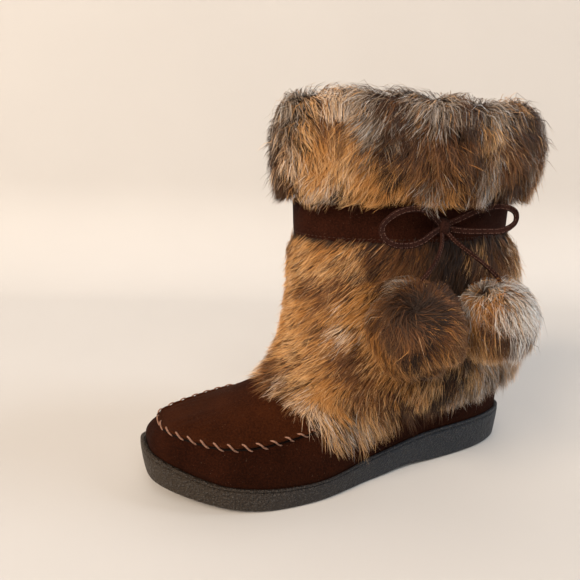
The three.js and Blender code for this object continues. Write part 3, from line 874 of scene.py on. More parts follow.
def merge(parts: Sequence[tuple[Array, Array]]) -> tuple[Array, Array]:
    """Joins several sets of points and faces into one.

    Args:
        parts: points and faces of each.

    Returns:
        All points and all faces.
    """
    start = np.cumsum([0] + [len(points) for points, _ in parts])
    faces = [np.where(rows >= 0, rows + first, -1) for (_, rows), first in zip(parts, start)]
    return np.vstack([points for points, _ in parts]), join_faces(*faces)


KNOT = np.array((53.6, 35, 169.0))
FRONT_LOOP = (
    (55.4, 33, 170.3), (57.5, 27, 174.5), (59.5, 16, 180), (60, 6, 180), (60, -3, 177), (59.5, -9, 171),
    (60, -8, 165), (61, -2, 161), (61.5, 7, 160), (61, 16, 161.5), (58.6, 25, 165.5), (55.4, 33, 168.3),
)
REAR_LOOP = (
    (55.4, 37, 170.3), (57.3, 45.5, 174), (59, 58, 179), (60, 69, 180.5), (60, 79, 179.5), (59, 85.5, 176),
    (59, 86, 171.5), (60, 81, 168), (61, 72, 166), (60.5, 61, 166), (58.6, 48, 166.5), (55.4, 37, 168.3),
)
FRONT_TAIL = ((55.4, 34, 167), (60, 31.5, 161), (65, 26, 154), (69, 18.5, 147.5), (71.8, 11, 141.5),
              (72.8, 7.6, 136.4), (73, 6.6, 126))
REAR_TAIL = ((55.4, 36.4, 167), (60, 41, 161), (65, 48.5, 154.5), (69, 56, 148), (71.8, 62.5, 142),
             (72.8, 65.8, 137.4), (73, 66.8, 127))
FRONT_POMPOM = np.array((73, 6.5, 113.0))
REAR_POMPOM = np.array((73, 67, 114.0))

# Outlines of the lace, in shares of its half width and half thickness, and of the knot's wrap, in
# shares of its half width and in millimetres.
LACE_RIM = ((1, -0.4), (1, 0.4), (0.82, 1), (0.3, 0.86), (-0.3, 0.86), (-0.82, 1), (-1, 0.4), (-1, -0.4),
            (-0.82, -1), (0.82, -1))
WRAP_RIM = ((1, -0.3), (1, 0.3), (0.7, 0.75), (-0.7, 0.75), (-1, 0.3), (-1, -0.3), (-0.7, -0.9),
            (0.7, -0.9))


@dataclass
class LaceRun:
    """One length of the flat lace. Sizes in millimetres."""

    name: str
    route: Sequence[Sequence[float]]
    far_end: str
    wide: float = 3.6
    thick: float = 1.5
    lean: float = 0.25
    steps: int = 90
    stitch_gap: float = 1.7
    stitch_inset: float = 0.6
    stitch: tuple[float, float, float] = (0.5, 0.22, 0.16)
    path: Array = field(default_factory=lambda: np.zeros((0, 3)))
    stitches: tuple[Array, Array] | None = None

    def build(self, suede: bpy.types.Material) -> bpy.types.Object:
        """Makes the strip and works out its edge stitches.

        Args:
            suede: the lace's finish.

        Returns:
            The strip.
        """
        self.path = smooth_line(self.route, self.steps)
        way = unit(np.gradient(self.path, axis=0))
        swing = np.sin(np.linspace(0, 2 * np.pi, len(self.path)))
        out = np.stack([np.ones_like(swing), self.lean * swing, -self.lean * np.cos(3 * swing)], -1)
        side = unit(np.cross(out, way))
        up = np.cross(way, side)
        w, t = self.wide / 2, self.thick / 2
        rim = np.array(LACE_RIM) * (w, t)
        strip = raw_mesh(f"{self.name}_strip", *sweep(self.path, side, up, rim))
        count = int(line_length(self.path) / self.stitch_gap)
        i = np.linspace(2, len(self.path) - 3, count).round().astype(int)
        rows = []
        for edge in (-1, 1):
            for face in (-1, 1):
                places = self.path[i] + side[i] * edge * (w - self.stitch_inset) + up[i] * face * 0.95 * t
                rows.append(beads(places, way[i], side[i], up[i], np.array(self.stitch)))
        self.stitches = merge(rows)
        return dress(strip, suede, Slot.LACE, self.name)

    def declare(self, strip: bpy.types.Object, others: Sequence[bpy.types.Object]) -> None:
        """Does nothing: the strip is not declared as a free cord.

        Args:
            strip: the run's strip; not used.
            others: the pieces that move with it; not used.
        """


@dataclass
class Bow:
    """The lace's knot, loops and tails. Sizes in millimetres."""

    wrap: tuple[float, float, float] = (3.9, 3.2, 4.6)
    runs: tuple[LaceRun, ...] = field(
        default_factory=lambda: (
            LaceRun("bow_loop_front", FRONT_LOOP, "object"),
            LaceRun("bow_loop_rear", REAR_LOOP, "object", lean=0.4),
            LaceRun("lace_tail_front", FRONT_TAIL, "fitting", wide=2.6, lean=0.5),
            LaceRun("lace_tail_rear", REAR_TAIL, "fitting", wide=2.6, lean=-0.5),
        )
    )

    def knot(self) -> tuple[Array, Array]:
        """The knot: two strips wrapped round a small core.

        Returns:
            Points and faces.
        """
        turn = np.linspace(0, 2 * np.pi, 40, endpoint=False)
        cos, sin = np.cos(turn), np.sin(turn)
        deep, half, tall = self.wrap
        parts = []
        for tilt, grow, wide in ((0.12, 1.0, half), (-0.5, 0.86, 0.8 * half)):
            ring = np.stack([deep * cos, tilt * tall * sin, tall * sin], -1) * grow
            way = unit(np.roll(ring, -1, 0) - np.roll(ring, 1, 0))
            side = unit(np.cross(unit(ring), way))
            rim = np.array(WRAP_RIM) * (wide, 1)
            parts.append(sweep(KNOT + ring, side, unit(ring), rim, loop=True))
        return merge(parts)

    def build(self) -> tuple[bpy.types.Object, list[tuple[LaceRun, bpy.types.Object]]]:
        """Makes the knot, the runs and their stitches.

        Returns:
            The knot, and each run with its strip.
        """
        suede = LACE_SUEDE.material("lace_suede")
        knot = dress(raw_mesh("bow_knot_wrap", *self.knot()), suede, Slot.LACE, "bow_knot")
        made = [(run, run.build(suede)) for run in self.runs]
        stitches = raw_mesh("lace_stitches", *merge([run.stitches for run in self.runs]))
        dress(stitches, LACE_THREAD.material("lace_thread"), Slot.LACE)
        return knot, made


@dataclass(frozen=True)
class RungWeb:
    """A surface that closes a ring with rungs from side to side."""

    across: int = 16

    def points(self, ring: Array, height: Callable[[Array], Array] | None = None) -> Array:
        """Points of the surface that closes a ring, on rungs from side to side.

        Args:
            ring: the ring's points, out along one side and back along the other.
            height: what is added to the points' height.

        Returns:
            The inner points of each rung.
        """
        count = len(ring) // 2
        one, other = ring[1:count], ring[:count:-1]
        share = np.linspace(0, 1, self.across + 1)[1:-1]
        points = lerp(one[:, None], other[:, None], share[None, :, None])
        if height is not None:
            points[..., 2] += height(points)
        return points

    def faces(self, rungs: int, count: int, first: int, ring: int, turned: bool) -> Array:
        """Faces of a web.

        Args:
            rungs: how many rungs it has.
            count: how many points its ring has.
            first: the number of its first point.
            ring: the number of its ring's first point.
            turned: whether the faces look up.

        Returns:
            Rows of corner numbers.
        """
        wide = self.across - 1
        inner = first + np.arange(rungs * wide).reshape(rungs, wide)
        one = ring + np.arange(1, rungs + 1)
        other = ring + count - np.arange(1, rungs + 1)
        grid = np.column_stack([one, inner, other])
        quads = np.stack([grid[:-1, :-1], grid[1:, :-1], grid[1:, 1:], grid[:-1, 1:]], -1).reshape(-1, 4)
        ends = []
        for tip, row, flip in ((ring, grid[0], False), (ring + rungs + 1, grid[-1], True)):
            fan = np.stack([np.full(len(row) - 1, tip), row[:-1], row[1:], np.full(len(row) - 1, -1)], -1)
            ends.append(fan[:, [0, 2, 1, 3]] if flip else fan)
        faces = np.vstack([quads, *ends])
        order = [0, 3, 2, 1] if turned else [0, 1, 2, 3]
        flipped = faces[:, order]
        three = flipped[:, 1] < 0
        flipped[three] = flipped[three][:, [0, 2, 3, 1]]
        return flipped


# The sole's side over its rounded edge: share of the height to the rim, and inset in millimetres.
SOLE_SIDE = ((0.35, 1.0), (0.62, 0.35), (0.84, 0.0), (0.87, 0.05), (0.885, 1.0), (0.915, 1.05), (0.93, 0.1),
             (0.985, 0.15), (1.0, 0.7))


@dataclass
class Sole:
    """The rubber wedge sole. Sizes in millimetres."""

    rim_depth: float = 5
    under_inset: float = 1.6
    edge_round: float = 3.2
    gap: float = 0.35
    groove_wide: float = 4
    groove_deep: float = 2
    groove_margin: float = 9
    wall_section: float = 0.62
    foot_section: float = 0.05
    wall_drop: float = 0.3
    steps: int = 96
    web: RungWeb = RungWeb()

    def grooves(self) -> Array:
        """The tread grooves' places along the boot."""
        return np.concatenate([np.linspace(0.06, 0.26, 5), np.linspace(0.56, 0.9, 8)])

    def angles(self) -> Array:
        """Angles from heel to toe, with one pair at each wall of each groove.

        Returns:
            The angles, rising.
        """
        half = (self.groove_wide / 2 + np.array((-0.25, 0.25))) / FORM.length
        walls = (self.grooves()[:, None] + np.concatenate([-half, half])).ravel()
        share = np.linspace(0, 1, self.steps + 1)
        even = np.pi * lerp(share, 3 * share**2 - 2 * share**3, -0.35)
        return np.unique(np.round(np.concatenate([even, np.arccos(1 - 2 * walls)]), 6))

    def tread(self, points: Array) -> Array:
        """Works out how much the grooves lift the underside.

        Args:
            points: rungs of its points.

        Returns:
            The lift at each point.
        """
        at = 0.5 - points[:, :1, 1] / FORM.length
        near = np.abs(at - self.grooves()).min(1, keepdims=True) * FORM.length < self.groove_wide / 2
        middle = points.mean(1, keepdims=True)[..., 0]
        reach = np.abs(points[..., 0] - middle)
        half = np.maximum(reach.max(1, keepdims=True) * (self.web.across / (self.web.across - 2)), 1)
        return self.groove_deep * (near & (reach < half - self.groove_margin))

    def build(self) -> bpy.types.Object:
        """Makes the sole: tread, rounded lower edge, side, rim ledge and recess.

        Returns:
            The sole.
        """
        half = self.angles()
        angle = np.concatenate([half, 2 * np.pi - half[-2:0:-1]])
        at = FORM.along(angle)
        under, rim = FORM.under(at), FORM.rim(at)
        r, low = self.edge_round, self.under_inset
        rings = [FORM.outline(angle, low + r, under)]
        for turn in np.radians((18, 36, 54, 72, 90)):
            inset = low + r * (1 - math.sin(turn))
            rings.append(FORM.outline(angle, inset, under + r * (1 - math.cos(turn))))
        for share, inset in SOLE_SIDE:
            rings.append(FORM.outline(angle, inset, lerp(under, rim, share)))
        wall = FORM.point(self.wall_section, angle, self.gap)
        wall[:, 2] = rim - self.wall_drop
        foot = FORM.point(self.foot_section, angle, self.gap)
        foot[:, 2] = rim - self.rim_depth
        rings += [wall, foot]
        count = len(angle)
        skin = np.concatenate(rings)
        tread = self.web.points(rings[0], self.tread)
        bed = self.web.points(foot)
        bed_first = len(skin) + tread.size // 3
        faces = join_faces(
            ring_faces(len(rings), count),
            self.web.faces(tread.shape[0], count, len(skin), 0, False),
            self.web.faces(bed.shape[0], count, bed_first, len(skin) - count, True),
        )
        points = np.vstack([skin, tread.reshape(-1, 3), bed.reshape(-1, 3)])
        thing = raw_mesh("wedge_sole", points, faces)
        return dress(thing, Rubber().material("pebbled_rubber"), Slot.SOLE, "outsole")


def even_angles(count: int) -> Array:
    """Angles round the boot, closer together at heel and toe, where the outline turns."""
    share = np.linspace(0, 1, count, endpoint=False)
    return 2 * np.pi * share - 0.36 * np.sin(4 * np.pi * share)


# The suede's creases: place, direction, half length, half width and height.
CREASES = (
    ((52, -52, 24), (0.2, -1, 0.1), 20, 4.5, -0.8),
    ((44, -82, 36), (0.7, 0.4, 0.5), 15, 4, -0.7),
    ((50, -20, 36), (0.1, 0.5, 1), 13, 4, -0.9),
    ((46, 12, 34), (0, -0.5, 1), 12, 5, -0.8),
    ((30, -96, 44), (1, 0.5, 0), 16, 5, -0.6),
    ((-8, -84, 50), (1, 0.1, 0), 22, 5, -0.6),
    ((36, 62, 40), (0, 0.3, 1), 13, 6, -0.7),
    ((32, 108, 36), (0, 1, 0.3), 16, 6, -0.6),
    ((-46, -40, 30), (0, -1, 0.3), 18, 5, -0.8),
    ((-42, 8, 34), (0, 0.4, 1), 14, 5, -0.8),
    ((-36, 70, 38), (0, 0.3, 1), 14, 6, -0.7),
)


@dataclass
class Upper:
    """The hollow suede upper and its lining. Sizes in millimetres."""

    wall: float = 2.4
    around: int = 240
    shown_to: float = 8.6
    shown_rows: int = 76

    def creases(self, points: Array) -> Array:
        """Soft troughs and ridges in the suede.

        Args:
            points: places on the upper.

        Returns:
            How far each one stands out.
        """
        total = 0.35 * soft_noise(points, 22, 5) + 0.12 * soft_noise(points, 7, 6)
        for place, way, long, wide, height in CREASES:
            offset = points - np.array(place, float)
            along = offset @ unit(np.array(way, float))
            across = np.sqrt(np.maximum((offset**2).sum(-1) - along**2, 0))
            total = total + height * np.exp(-((along / long) ** 2) - (across / wide) ** 2)
        return total

    def build(self) -> bpy.types.Object:
        """Makes the upper as one closed skin, suede outside and pile inside.

        Returns:
            The upper.
        """
        angle = even_angles(self.around)
        shown = np.linspace(0, self.shown_to, self.shown_rows)
        outside = np.concatenate([shown, np.linspace(self.shown_to, COLLAR, 16)[1:]])
        inside = np.linspace(COLLAR, 0, 30)
        number, turn = np.meshgrid(outside, angle, indexing="ij")
        flat = FORM.point(number, turn)
        ease = smooth(number, 0.5, 1.2) * (1 - smooth(number, 9, 10))
        outer = FORM.point(number, turn, self.creases(flat) * ease)
        number, turn = np.meshgrid(inside, angle, indexing="ij")
        inner = FORM.point(number, turn, -self.wall)
        faces = ring_faces(len(outside) + len(inside), self.around, loop=True)
        thing = raw_mesh("foot_and_shaft", np.concatenate([outer, inner]).reshape(-1, 3), faces)
        dress(thing, BROWN_SUEDE.material("brown_suede"), Slot.SUEDE, "upper")
        thing.data.materials.append(Pile().material("lining_pile"))
        lined = np.arange(len(faces)) >= len(outside) * self.around
        thing.data.polygons.foreach_set("material_index", lined.astype(np.int32))
        return thing


@dataclass
class Insole:
    """The pile-covered insole in the sole's recess. Sizes in millimetres."""

    thick: float = 3.6
    wall: float = 2.4
    gap: float = 0.35
    rim_depth: float = 5
    half_steps: int = 72
    web: RungWeb = RungWeb(24)

    def build(self) -> bpy.types.Object:
        """Makes the insole with a softly uneven top.

        Returns:
            The insole.
        """
        half = np.linspace(0, np.pi, self.half_steps)
        angle = np.concatenate([half, 2 * np.pi - half[-2:0:-1]])
        floor = FORM.rim(FORM.along(angle)) - self.rim_depth + self.gap
        rings = []
        for lift, inset in ((0, 0.6), (self.thick - 1.2, 0), (self.thick - 0.4, 0.3), (self.thick, 1.2)):
            ring = FORM.point(0, angle, -self.wall - self.gap - inset)
            ring[:, 2] = floor + lift
            rings.append(ring)
        low = self.web.points(rings[0])
        top = self.web.points(rings[-1], lambda points: 0.3 * soft_noise(points, 3.5, 21) - 0.2)
        skin = np.concatenate(rings)
        first = len(skin)
        faces = join_faces(
            ring_faces(len(rings), len(angle)),
            self.web.faces(low.shape[0], len(angle), first, 0, False),
            self.web.faces(top.shape[0], len(angle), first + low.size // 3, first - len(angle), True),
        )
        points = np.vstack([skin, low.reshape(-1, 3), top.reshape(-1, 3)])
        thing = raw_mesh("pile_insole", points, faces)
        return dress(thing, Pile().material("insole_pile"), Slot.INSOLE, "insole")


@dataclass
class Apron:
    """The suede apron with its gathered seam and whip stitches. Sizes in millimetres."""

    start: float = 0.655
    thick: float = 1.4
    gap: float = 0.35
    ridge: float = 1.3
    around: int = 361
    stitch_gap: float = 8.6
    stitch_thick: float = 1.15
    slant: float = 4.3
    angle: Array = field(init=False)
    run: Array = field(init=False)

    def __post_init__(self) -> None:
        """Works out the seam's angles and the way along it."""
        side = np.linspace(-1, 1, self.around)
        half = np.arccos(1 - 2 * lerp(1, self.start, np.abs(side) ** 1.25))
        self.angle = np.where(side < 0, 2 * np.pi - half, half)[::-1]
        seam = FORM.point(FORM.seam_line(self.angle), self.angle)
        steps = np.linalg.norm(np.diff(seam, axis=0), axis=1)
        self.run = np.concatenate([[0], np.cumsum(steps)])

    def pinch(self, run: Array) -> Array:
        """How much the thread pulls the ridge in: 1 at a stitch, 0 between two."""
        return (0.5 + 0.5 * np.cos(2 * np.pi * (run - self.run[-1] / 2) / self.stitch_gap)) ** 2

    def build(self) -> None:
        """Makes the apron, a dark tube in the seam beside it as painted shade, and the stitches."""
        at = FORM.along(self.angle)
        low = FORM.seam_line(self.angle)
        width = np.maximum(FORM.fur_edge(at) + 0.35 - low, 0.16)
        pinch = self.pinch(self.run)
        base = self.gap + self.thick
        edge = ((0.03, 0.1, 0), (0.0, 0.9, 0.1), (-0.01, 1.5, 0.4), (0.02, base, 0.8), (0.07, base, 1.05),
                (0.13, base, 1.0), (0.2, base, 0.75), (0.29, base, 0.35), (0.4, base, 0.05), (0.52, base, 0))
        rows = []
        for step, out, rise in edge:
            puff = rise * self.ridge * (1 - 0.5 * pinch)
            number = low + np.minimum(step, width) + 0.05 * pinch * (rise > 0)
            rows.append(FORM.point(number, self.angle, out + puff))
        for share in np.linspace(0.06, 1, 26):
            number = low + lerp(np.minimum(0.52, width), width, share)
            flat = FORM.point(number, self.angle)
            pull = 0.28 * (1 - share) ** 3 * (0.5 - pinch) + 0.3 * soft_noise(flat, 18, 31)
            rows.append(FORM.point(number, self.angle, base + pull))
        under = [FORM.point(low + width * share, self.angle, 0.1) for share in (1, 0.6, 0.2)]
        points = np.stack(rows + under)
        faces = ring_faces(len(points), self.around, wrap=False, loop=True)
        ends = np.arange(len(points)) * self.around
        caps = np.array([ends, (ends + self.around - 1)[::-1]])
        thing = raw_mesh("vamp_apron", points.reshape(-1, 3), join_faces(faces, caps))
        dress(thing, APRON_SUEDE.material("apron_suede"), Slot.APRON, "apron")
        self.seam_shadow(low)
        self.stitches()

    def seam_shadow(self, low: Array) -> None:
        """Lays a thin near-black tube in the seam's groove as painted shade, where the groove's shadow
        falls.

        Args:
            low: the seam's section numbers along its run.
        """
        line = FORM.point(low - 0.04, self.angle, 0.3)
        up = FORM.normal(low, self.angle)
        side = unit(np.cross(unit(np.gradient(line, axis=0)), up))
        rim = np.array([(0.5, 0), (0.3, 0.2), (-0.3, 0.2), (-0.5, 0), (-0.3, -0.4), (0.3, -0.4)])
        # Painted shade: a dark tube that stands for the groove's shadow.
        thing = raw_mesh("seam_line", *sweep(line, side, up, rim))
        dress(thing, SEAM_SHADE.material("seam_shade"), Slot.APRON)

    def stitches(self) -> None:
        """Sews the whip stitches over the gathered edge."""
        middle = self.run[-1] / 2
        count = int(middle / self.stitch_gap)
        places = middle + self.stitch_gap * np.arange(-count, count + 1)
        places = places[(places > 4) & (places < self.run[-1] - 4)]
        angle = np.interp(places, self.run, self.angle)
        dice = np.random.default_rng(8)
        parts = []
        turn = np.linspace(0, 2 * np.pi, 8, endpoint=False)
        for a in angle:
            number = FORM.seam_line(a) + np.array((0.2, 0.18, 0.14, 0.08, 0.01, -0.05, -0.09, -0.1))
            out = np.array((1.4, 2.5, 3.2, 3.3, 2.7, 1.4, 0.9, -0.3))
            ahead = FORM.face(number[3], np.array([a + 0.02])) - FORM.face(number[3], np.array([a - 0.02]))
            lean = self.slant * dice.uniform(0.85, 1.15) / np.linalg.norm(ahead / 0.04)
            share = np.linspace(1, -1, len(number))
            line = smooth_line(FORM.point(number, a + lean * share, out), 14)
            way = unit(np.gradient(line, axis=0))
            up = unit(np.cross(np.cross(way, FORM.normal(number[3], np.array([a]))), way))
            thick = self.stitch_thick / 2 * (0.6 + 0.4 * np.sin(np.pi * np.linspace(0.06, 0.94, len(line))))
            rim = np.stack([np.cos(turn), 0.8 * np.sin(turn)], -1)[None] * thick[:, None, None]
            parts.append(sweep(line, np.cross(up, way), up, rim))
        thing = raw_mesh("whip_stitches", *merge(parts))
        dress(thing, STITCH_THREAD.material("stitch_thread"), Slot.APRON)


# The band's outline: share of its height, and how far it stands out.
BAND_PROFILE = (
    (0, -2.6), (0, -1.1), (0.012, -0.45), (0.04, -0.12), (0.075, 0), (0.11, -0.22), (0.15, 0.02), (0.3, 0.1),
    (0.5, 0.12), (0.7, 0.08), (0.9, 0.02), (0.95, -0.12), (0.985, -0.45), (1, -1.1), (1, -2.6),
)


@dataclass
class Band:
    """The suede band under the cuff, with its stitched lower edge. Sizes in millimetres."""

    low: float = 13.02
    high: float = 14.0
    gap: float = 0.35
    thick: float = 2.6
    around: int = 300
    uneven: float = 0.35
    stitch_gap: float = 3.0
    stitch_share: float = 0.11
    stitch_sunk: float = 0.12
    stitch: tuple[float, float, float] = (1.05, 0.3, 0.28)

    def out(self, angle: Array, share: Array | float) -> Array:
        """How far the band stands off, softly uneven.

        Args:
            angle: angles round the boot.
            share: shares of the band's height.

        Returns:
            The distance from the upper.
        """
        places = FORM.point(lerp(self.low, self.high, share), angle)
        swell = self.uneven * soft_noise(places, 16, 41) * np.sin(np.pi * np.clip(share, 0, 1))
        return self.gap + self.thick + swell

    def build(self) -> None:
        """Makes the band and its stitches."""
        angle = even_angles(self.around)
        rings = [
            FORM.point(lerp(self.low, self.high, share), angle, self.out(angle, share) + dip)
            for share, dip in BAND_PROFILE
        ]
        faces = ring_faces(len(rings), self.around, loop=True)
        thing = raw_mesh("shaft_band", np.concatenate(rings), faces)
        dress(thing, BAND_SUEDE.material("band_suede"), Slot.BAND, "band")
        self.stitches()

    def groove(self, angle: Array) -> Array:
        """Points of the line that the stitches lie on."""
        number = lerp(self.low, self.high, self.stitch_share)
        return FORM.point(number, angle, self.out(angle, self.stitch_share) - self.stitch_sunk)

    def stitches(self) -> None:
        """Sews the stitches along the lower edge."""
        fine = np.linspace(0, 2 * np.pi, 1200)
        line = self.groove(fine)
        run = np.concatenate([[0], np.cumsum(np.linalg.norm(np.diff(line, axis=0), axis=1))])
        places = np.interp(np.arange(0, run[-1], self.stitch_gap), run, fine)
        up = FORM.normal(13.1, places)
        way = unit(np.cross(up, np.array((0, 0, 1.0))))
        grains = beads(self.groove(places), way, np.cross(up, way), up, np.array(self.stitch))
        dress(raw_mesh("band_stitches", *grains), BAND_THREAD.material("band_thread"), Slot.BAND)


class Tone(Enum):
    """Fur tones, as places on the scale of TONES."""

    BLACK = 0.03
    UMBER = 0.14
    RUSSET = 0.27
    GOLD = 0.42
    TAN = 0.56
    BEIGE = 0.68
    PALE = 0.79
    GREY = 0.89
    SLATE = 0.98


T = Tone
Patches = Sequence[tuple[float, float, float, Tone]]

# Patches of tone on the fur, by place in millimetres, for the sides that the photograph shows.
SHAFT_PATCHES: Patches = (
    (6, -37, 136, T.TAN), (18, -31, 151, T.TAN), (31, -23, 145, T.TAN), (29, -26, 133, T.RUSSET),
    (38, -14, 141, T.RUSSET), (46, 3, 147, T.UMBER), (42, -12, 124, T.GOLD), (46, -1, 131, T.GOLD),
    (30, -26, 118, T.GOLD), (29, -29, 108, T.RUSSET), (34, -23, 104, T.GOLD), (18, -40, 92, T.TAN),
    (29, -30, 91, T.GOLD), (40, -15, 91, T.RUSSET), (21, -43, 79, T.RUSSET), (41, -20, 75, T.GOLD),
    (25, -52, 62, T.BEIGE), (37, -37, 59, T.BEIGE), (47, -12, 60, T.TAN), (42, -24, 47, T.GREY),
    (38, -30, 50, T.TAN), (44, -8, 45, T.GREY), (45, 2, 52, T.TAN), (43, 24, 48, T.UMBER),
    (45, 40, 52, T.UMBER), (40, 2, 45, T.TAN), (48, 5, 63, T.RUSSET), (48, 16, 58, T.UMBER),
    (50, 28, 61, T.UMBER), (52, 46, 62, T.BLACK), (42, 71, 53, T.GREY), (45, 87, 61, T.GREY),
    (44, 14, 48, T.TAN), (42, 108, 133, T.BEIGE), (53, 45, 148, T.BLACK), (53, 24, 143, T.RUSSET),
    (53, 33, 151, T.UMBER), (53, 54, 151, T.BLACK), (53, 40, 140, T.BLACK), (53, 56, 138, T.BLACK),
    (53, 30, 134, T.UMBER), (52, 67, 150, T.UMBER), (52, 13, 149, T.RUSSET), (52, 48, 128, T.BLACK),
    (52, 61, 146, T.UMBER), (51, 60, 132, T.UMBER), (52, 69, 142, T.RUSSET), (50, 73, 150, T.UMBER),
    (49, 86, 147, T.RUSSET), (50, 78, 137, T.RUSSET), (45, -8, 132, T.GOLD), (45, 91, 65, T.GREY),
)
CUFF_PATCHES: Patches = (
    (7, -47, 237, T.GREY), (28, -33, 242, T.BEIGE), (20, -47, 226, T.TAN), (42, -30, 229, T.RUSSET),
    (54, -12, 232, T.GREY), (56, -13, 221, T.SLATE), (13, -49, 212, T.BEIGE), (32, -40, 216, T.GOLD),
    (45, -29, 218, T.TAN), (61, -3, 218, T.UMBER), (61, 2, 231, T.UMBER), (62, 13, 237, T.GREY),
    (67, 34, 232, T.UMBER), (63, 64, 239, T.GREY), (70, 37, 222, T.BLACK), (66, 80, 232, T.UMBER),
    (70, 29, 219, T.RUSSET), (69, 68, 223, T.RUSSET), (65, 87, 213, T.RUSSET), (41, -34, 199, T.BEIGE),
    (27, -43, 202, T.TAN), (56, -11, 206, T.GOLD), (50, -23, 209, T.TAN), (62, 3, 202, T.BLACK),
    (61, 7, 193, T.GOLD), (66, 17, 201, T.RUSSET), (70, 39, 207, T.UMBER), (67, 46, 191, T.RUSSET),
    (58, -11, 186, T.GOLD), (46, -22, 187, T.TAN), (37, -32, 187, T.GREY), (43, -27, 193, T.BLACK),
    (64, 23, 188, T.GREY), (65, 61, 191, T.GREY), (68, 80, 193, T.UMBER), (69, 72, 207, T.RUSSET),
    (1, -49, 197, T.UMBER), (23, -47, 189, T.TAN),
)
BROWN_PATCHES: Patches = (
    (86, -4, 130, T.BLACK), (76, -15, 123, T.RUSSET), (74, -10, 133, T.RUSSET), (69, 4, 136, T.GREY),
    (83, 7, 136, T.RUSSET), (86, 18, 130, T.UMBER), (93, 5, 127, T.RUSSET), (93, -6, 117, T.BLACK),
    (77, -15, 103, T.GOLD), (96, 16, 112, T.RUSSET), (93, 16, 103, T.TAN), (92, -1, 101, T.UMBER),
    (74, -17, 109, T.GOLD), (84, -11, 119, T.UMBER), (80, -14, 100, T.GOLD), (80, -10, 128, T.UMBER),
    (91, 11, 103, T.GOLD), (80, -6, 137, T.UMBER), (90, 2, 134, T.UMBER), (88, -10, 124, T.RUSSET),
    (88, 6, 92, T.UMBER),
)
GREY_PATCHES: Patches = (
    (63, 58, 134, T.PALE), (77, 62, 137, T.PALE), (87, 57, 130, T.PALE), (77, 48, 131, T.GOLD),
    (88, 50, 127, T.BLACK), (90, 53, 122, T.BLACK), (91, 57, 118, T.UMBER), (86, 44, 112, T.RUSSET),
    (80, 45, 119, T.UMBER), (86, 60, 128, T.GREY), (92, 66, 112, T.GREY), (82, 47, 125, T.RUSSET),
    (97, 64, 117, T.PALE), (84, 52, 131, T.GREY), (95, 60, 109, T.PALE), (83, 46, 110, T.TAN),
    (84, 51, 101, T.TAN), (88, 57, 98, T.BEIGE), (83, 50, 100, T.TAN), (96, 74, 112, T.BEIGE),
    (93, 60, 124, T.PALE), (92, 57, 108, T.PALE), (97, 68, 122, T.PALE), (90, 63, 129, T.PALE),
    (95, 66, 103, T.PALE),
)


class FurSkin:
    """The backing that a fur grows from. Row and angle are its two ways, in its own measure."""

    rows: tuple[float, float]
    angles: tuple[float, float] = (0, 2 * math.pi)
    row_step: float = 0.12
    angle_step: float = 0.04
    tries: int = 8
    closed: bool = False

    def backing(self, row: Array, angle: Array) -> Array:
        """Points on the backing."""
        raise NotImplementedError

    def inner(self, row: Array, angle: Array) -> Array:
        """Points on the backing's own inner face."""
        raise NotImplementedError

    def depth(self, row: Array, angle: Array) -> Array:
        """How far the pile stands above the backing."""
        raise NotImplementedError

    def lean(self, places: Array) -> Array:
        """How far the hairs lean round the piece, by place."""
        raise NotImplementedError

    def down(self, row: Array, angle: Array) -> Array:
        """The way that the hairs fall, before they lean."""
        raise NotImplementedError

    def fit(self, row: Array) -> Array:
        """Keeps rows on the backing, where its depth is read."""
        return np.clip(row, *self.rows)

    def start(self, row: Array, angle: Array) -> Array:
        """Fits rows to the fur's edge."""
        return row

    def stretch(self, angle: Array) -> Array:
        """How much start() stretches the rows at an angle."""
        return np.ones_like(angle)

    def ways(self, row: Array, angle: Array) -> tuple[Array, Array, Array]:
        """Works out the backing's own ways.

        Args:
            row: rows of the places.
            angle: their angles.

        Returns:
            The two tangents, for one unit of each measure, and the normal.
        """
        h, g = self.row_step, self.angle_step
        up = (self.backing(row + h, angle) - self.backing(row - h, angle)) / (2 * h)
        turn = (self.backing(row, angle + g) - self.backing(row, angle - g)) / (2 * g)
        return up, turn, unit(np.cross(up, turn))

    def point(self, row: Array, angle: Array, out: Array) -> Array:
        """Points at a distance from the backing."""
        return self.backing(row, angle) + self.ways(row, angle)[2] * out[..., None]

    def measure(self, row: Array, angle: Array, step: Array) -> tuple[Array, Array]:
        """Turns a step in space into steps of row and angle.

        Args:
            row: rows of the places.
            angle: their angles.
            step: the steps, in millimetres.

        Returns:
            The steps of row and of angle.
        """
        up, turn, _ = self.ways(row, angle)
        aa, ab, bb = (up * up).sum(-1), (up * turn).sum(-1), (turn * turn).sum(-1)
        sa, sb = (step * up).sum(-1), (step * turn).sum(-1)
        det = np.maximum(aa * bb - ab * ab, 1e-6)
        return (sa * bb - sb * ab) / det, (sb * aa - sa * ab) / det

    def scatter(self, count: int, dice: np.random.Generator) -> tuple[Array, Array]:
        """Places spread evenly over the backing.

        Args:
            count: how many.
            dice: where the chances come from.

        Returns:
            Their rows and angles.
        """
        row = dice.uniform(*self.rows, self.tries * count)
        angle = dice.uniform(*self.angles, self.tries * count)
        row = self.start(row, angle)
        up, turn, _ = self.ways(row, angle)
        area = np.linalg.norm(np.cross(up, turn), axis=-1) * self.stretch(angle)
        pick = dice.choice(len(row), count, replace=False, p=area / area.sum())
        return row[pick], angle[pick]


